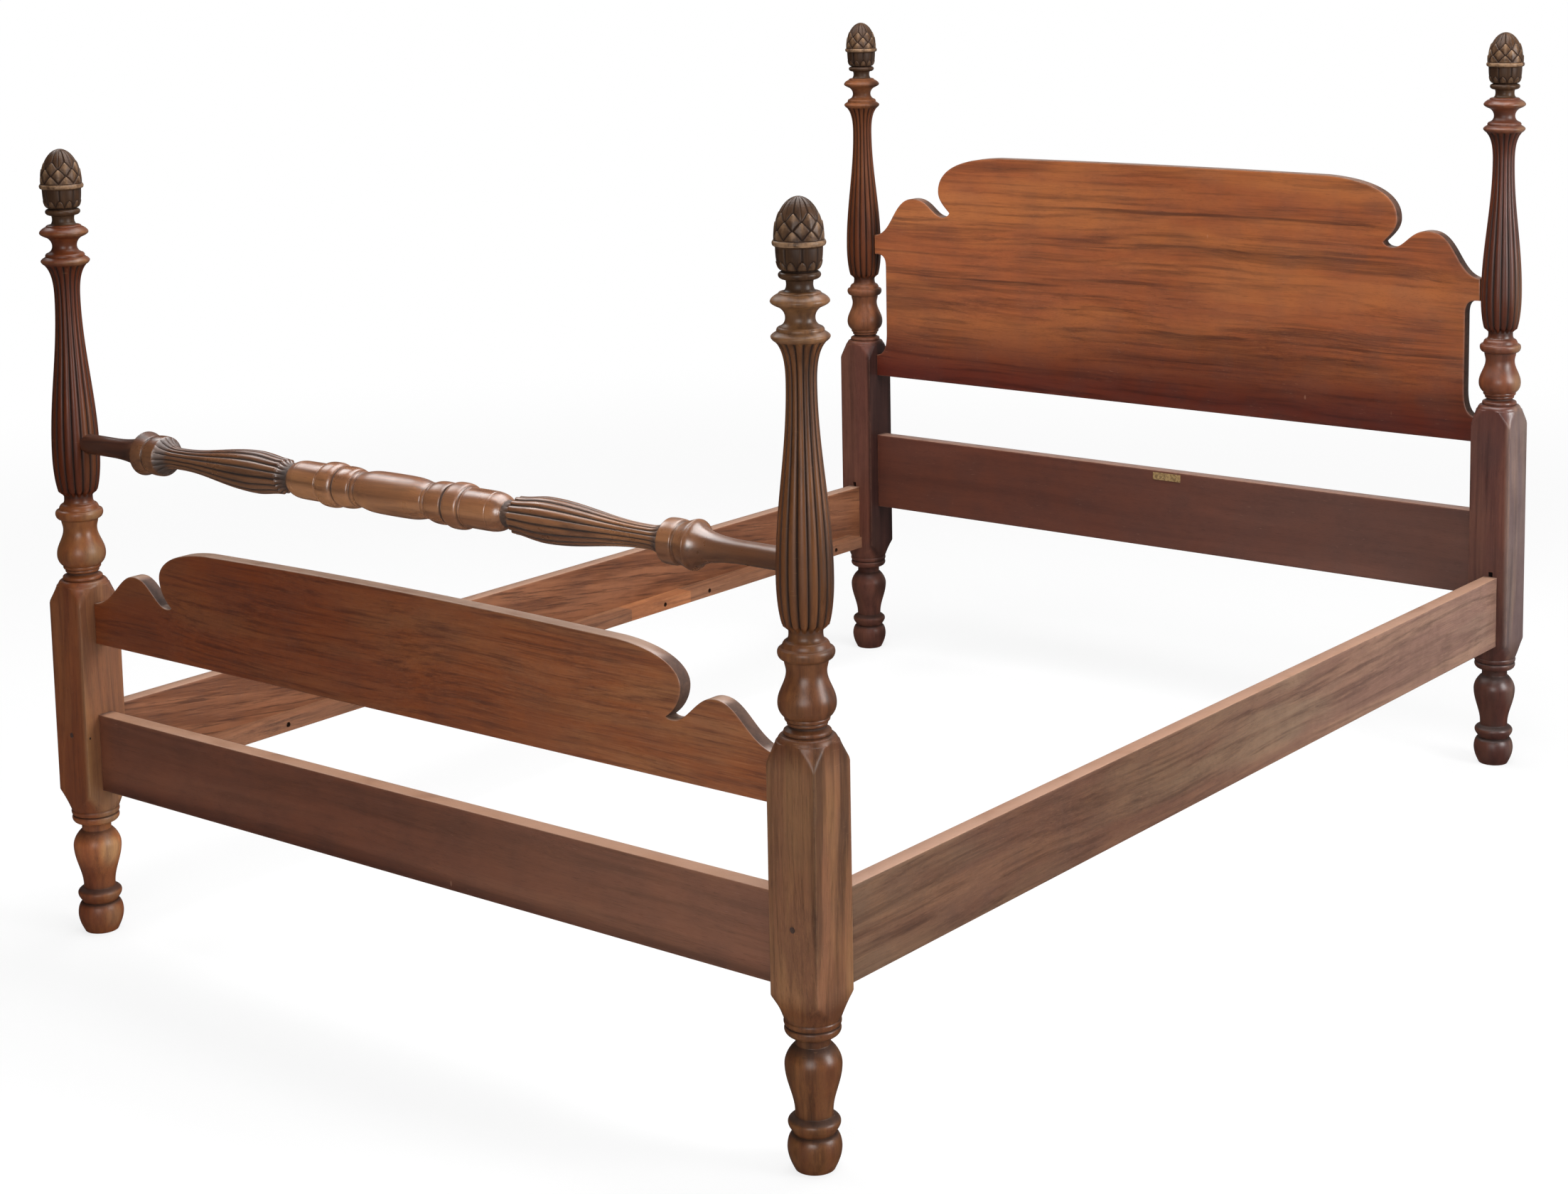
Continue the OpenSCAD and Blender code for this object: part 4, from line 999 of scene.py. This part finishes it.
BLANKET = wood("blanket_rail", "X", (0.33, 0.145, 0.060), (0.165, 0.062, 0.025),
               (0.032, 0.012, 0.008), tint=(0.24, 0.104, 0.040), streaks=0.8, fibres=0.5,
               breadth=0.7, shine=0.95, rubbed_and_highlight=(0.28, 0.14, 0.07), stain=(0.20, 0.15, 0.17),
               wear=0.4, gloss=(0.26, 0.38))
SIDE_RAIL = wood("side_rail", "Y", (0.165, 0.082, 0.045), (0.094, 0.043, 0.027),
                 (0.048, 0.022, 0.014), tint=(0.12, 0.068, 0.040), streaks=0.5, fibres=0.7,
                 veins=0.2, breadth=0.8, top=(0.24, 0.14, 0.095), shine=0.35,
                 # painted sheen: lighter and greyer towards the head end
                 fades=[("Y", -0.4, 0.96, (1.85, 2.25, 2.7))],
                 sawn=[(0.195, 0.078, 0.037), (0.118, 0.043, 0.020), (0.042, 0.016, 0.009)])
LEDGER = wood("ledger_strip", "Y", (0.24, 0.110, 0.056), (0.15, 0.062, 0.031),
              (0.06, 0.026, 0.015), streaks=0.6, fibres=0.8, gloss=(0.5, 0.65), shine=0.2)
PATCH = wood("mended_strip", "Y", (0.32, 0.130, 0.055), (0.22, 0.080, 0.031),
             (0.11, 0.04, 0.02), streaks=0.6, fibres=0.6, gloss=(0.5, 0.65), shine=0.2)
PEG = wood("peg", "Y", (0.13, 0.07, 0.045), (0.05, 0.026, 0.018), (0.02, 0.010, 0.008),
           gloss=(0.35, 0.5))
DARK_STEEL = metal("dark_steel", (0.10, 0.085, 0.075), (0.04, 0.034, 0.03), 0.45)
DULL_STEEL = metal("dull_steel", (0.36, 0.35, 0.34), (0.22, 0.20, 0.18), 0.35)
AGED_BRASS = metal("aged_brass", (0.42, 0.28, 0.12), (0.20, 0.125, 0.055), 0.4, bare=0.5)

# ------------------------------------------------------------------ the bed
# end, side, the signs of its X and Y, rise, finish, and the stain on leg, vase, shaft, crown
POSTS = [("foot", "left", -1, -1, 0.0, WARM_POST, (0.0, 0.15, 1.0, 0.6)),
         ("foot", "right", 1, -1, 0.0, GOLDEN_POST, (0.75, 0.7, 0.85, 0.35)),
         ("head", "left", -1, 1, HEAD_RISE, DEEP_RED_POST, (0.3, 0.0, 0.9, 0.4)),
         ("head", "right", 1, 1, HEAD_RISE, RED_POST, (0.6, 0.1, 1.0, 0.2))]


def dress(piece, node, material):
    finish_with(piece, material)
    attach(piece, "root")
    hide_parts(node)


for end_name, side_name, side, end, rise, material, stain in POSTS:
    post = post_piece(f"turned_{end_name}_post_{side_name}", side, end, rise, stain)
    dress(post, f"{end_name}_post_{side_name}", material)
    acorn = finial_piece(f"carved_{end_name}_finial_{side_name}", side, end, rise)
    dress(acorn, f"{end_name}_finial_{side_name}", CARVED)

dress(blanket_piece(), "blanket_rail", BLANKET)

footboard = eased_plank(
    "shaped_footboard",
    both_halves(footboard_edge() + [[RAIL_END, FOOTBOARD_LOW]]),
    0, BOARD_T, across_bed(-HALF_RUN))
dress(footboard, "footboard", FOOTBOARD)
headboard = eased_plank(
    "shaped_headboard", both_halves(headboard_edge() + headboard_side()),
    0, BOARD_T, across_bed(HALF_RUN))
dress(headboard, "headboard", HEADBOARD)

foot_rail = eased_plank("eased_foot_rail", rectangle(-RAIL_END, RAIL_END, *FOOT_RAIL),
                        0, RAIL_T, across_bed(-HALF_RUN), RAIL_EASE)
dress(foot_rail, "foot_rail", FOOT_RAIL_WOOD)
head_rail = eased_plank("eased_head_rail", rectangle(-RAIL_END, RAIL_END, *HEAD_RAIL),
                        0, RAIL_T, across_bed(HALF_RUN), RAIL_EASE)
dress(head_rail, "head_rail", HEAD_RAIL_WOOD)

for side_name, side in (("left", -1), ("right", 1)):
    lo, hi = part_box(f"side_rail_{side_name}")
    span = [v / MM for v in (lo[1], hi[1], lo[2], hi[2])]
    middle = (lo[0] + hi[0]) / 2 / MM
    side_rail = eased_plank(f"eased_side_rail_{side_name}", rectangle(*span), middle,
                            (hi[0] - lo[0]) / MM, along_bed, RAIL_EASE, sawn=-side)
    dress(side_rail, f"side_rail_{side_name}", SIDE_RAIL)

CAD_FINISHES = {
    "ledger_left_foot": LEDGER, "ledger_left_head": LEDGER, "ledger_right": LEDGER,
    "ledger_left_patch": PATCH, "rail_peg_left": PEG, "rail_peg_right": PEG,
    "ledger_screws_left": DARK_STEEL, "ledger_screws_right": DARK_STEEL,
    "side_brads": DARK_STEEL, "blank_plate": AGED_BRASS, "plate_pins": AGED_BRASS,
}
for node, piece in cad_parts.items():
    if node.startswith(("rail_hook", "hook_rivets", "catch_pins")):
        finish_with(piece, DULL_STEEL)
    elif node in CAD_FINISHES:
        finish_with(piece, CAD_FINISHES[node])

# ------------------------------------------------------------------ studio
PAPER = (1.0, 1.0, 1.0, 1)
SOFT_FILL = 0.20             # light from all round
DIM_ROOM = 0.05              # what the wood mirrors on the camera's side
BACKDROP = 0.40              # what it mirrors of the backdrop


def backdrop_side(g, place):
    """How far a place or a direction lies toward the backdrop, behind and right of the bed."""
    part = g.add("SeparateXYZ", {0: place})
    return g.maths("MINIMUM", part.outputs["Y"],
                   g.maths("ADD", part.outputs["X"], part.outputs["Y"]))


def studio_floor():
    mesh = bpy.data.meshes.new("studio_floor")
    far = 60.0
    mesh.from_pydata([(-far, -far, 0), (far, -far, 0), (far, far, 0), (-far, far, 0)], [],
                     [(0, 1, 2, 3)])
    floor = bpy.data.objects.new("studio_floor", mesh)
    bpy.context.scene.collection.objects.link(floor)
    material = bpy.data.materials.new("white_paper")
    material.use_nodes = True
    g = Graph(material.node_tree)
    shader = material.node_tree.nodes["Principled BSDF"]
    speckle = g.noise(g.add("TexCoord").outputs["Object"], 400.0, 2.0)
    g.feed(shader.inputs["Base Color"],
           g.blend("MIX", speckle, (0.62, 0.62, 0.62, 1), (0.66, 0.66, 0.66, 1)))
    g.feed(shader.inputs["Roughness"], 0.9)
    g.feed(shader.inputs["Specular IOR Level"], 0.1)
    rays = g.add("LightPath")
    away = g.add("VectorMath", {0: g.add("TexCoord").outputs["Object"]}, operation="LENGTH")
    white = g.between(away.outputs["Value"], 1.5, 5.0, 0.78, 1.0)
    glow = g.add("Emission", {"Color": PAPER, "Strength": 1.0})
    paper = g.add("MixShader", {0: g.maths("MULTIPLY", rays.outputs["Is Camera Ray"], white),
                                1: shader.outputs[0], 2: glow.outputs[0]})
    beyond = backdrop_side(g, g.add("TexCoord").outputs["Object"])
    mirrored = g.add("Emission", {"Color": PAPER,
                                  "Strength": g.between(beyond, 1.0, 3.5, DIM_ROOM, BACKDROP)})
    join = g.add("MixShader", {0: rays.outputs["Is Glossy Ray"], 1: paper.outputs[0],
                               2: mirrored.outputs[0]})
    out = material.node_tree.nodes["Material Output"]
    material.node_tree.links.new(join.outputs[0], out.inputs["Surface"])
    mesh.materials.append(material)


def studio_world():
    """White to the camera, and in reflections a dim room with a white backdrop behind the bed."""
    world = bpy.data.worlds.new("studio")
    bpy.context.scene.world = world
    world.use_nodes = True
    g = Graph(world.node_tree)
    light = world.node_tree.nodes["Background"]
    g.feed(light.inputs["Color"], PAPER)
    g.feed(light.inputs["Strength"], SOFT_FILL)
    beyond = backdrop_side(g, g.add("TexCoord").outputs["Generated"])
    mirrored = g.add("Background", {"Color": PAPER,
                                    "Strength": g.between(beyond, -0.1, 0.3, DIM_ROOM,
                                                          BACKDROP)})
    paper = g.add("Background", {"Color": PAPER, "Strength": 1.0})
    rays = g.add("LightPath")
    shine = g.add("MixShader", {0: rays.outputs["Is Glossy Ray"], 1: light.outputs[0],
                                2: mirrored.outputs[0]})
    seen = g.maths("MAXIMUM", rays.outputs["Is Camera Ray"], rays.outputs["Is Transmission Ray"])
    join = g.add("MixShader", {0: seen, 1: shine.outputs[0], 2: paper.outputs[0]})
    world.node_tree.links.new(join.outputs[0],
                              world.node_tree.nodes["World Output"].inputs["Surface"])


def softbox(name, place, target, width, height, power):
    data = bpy.data.lights.new(name, "AREA")
    data.shape = "RECTANGLE"
    data.size, data.size_y = width, height
    data.energy = power
    lamp = bpy.data.objects.new(name, data)
    lamp.location = place
    lamp.rotation_euler = (Vector(target) - Vector(place)).to_track_quat("-Z", "Y").to_euler()
    bpy.context.scene.collection.objects.link(lamp)


studio_floor()
studio_world()
softbox("overhead_softbox", (0.3, 0.0, 3.6), (0, 0, 0.4), 3.2, 3.2, 225)
softbox("side_softbox", (4.6, 0.6, 2.0), (0, 0, 0.6), 1.6, 2.2, 215)
softbox("front_softbox", (2.6, -4.9, 1.8), (0.3, 0, 0.5), 2.4, 1.8, 142)
softbox("left_softbox", (-3.2, -0.3, 3.9), (0, -0.6, 0.7), 1.8, 1.4, 55)


def photo_camera():
    """The photograph's viewpoint, as fitted to the four posts."""
    place = (2.7128, -3.5749, 1.5578)
    yaw, pitch, roll = radians(38.384), radians(8.103), radians(-1.068)
    ahead = Vector((-sin(yaw) * cos(pitch), cos(yaw) * cos(pitch), -sin(pitch)))
    level = Vector((cos(yaw), sin(yaw), 0))
    above = level.cross(ahead)
    right = level * cos(roll) + above * sin(roll)
    up = above * cos(roll) - level * sin(roll)
    data = bpy.data.cameras.new("photo_camera")
    data.sensor_fit = "HORIZONTAL"
    data.sensor_width = 36.0
    data.lens = 63.65
    data.shift_y = -0.1904
    data.clip_end = 100
    camera = bpy.data.objects.new("photo_camera", data)
    turned = Matrix((right, up, -ahead)).transposed().to_4x4()
    camera.matrix_world = Matrix.Translation(place) @ turned
    bpy.context.scene.collection.objects.link(camera)
    bpy.context.scene.camera = camera


photo_camera()
bpy.context.scene.view_settings.view_transform = "Standard"
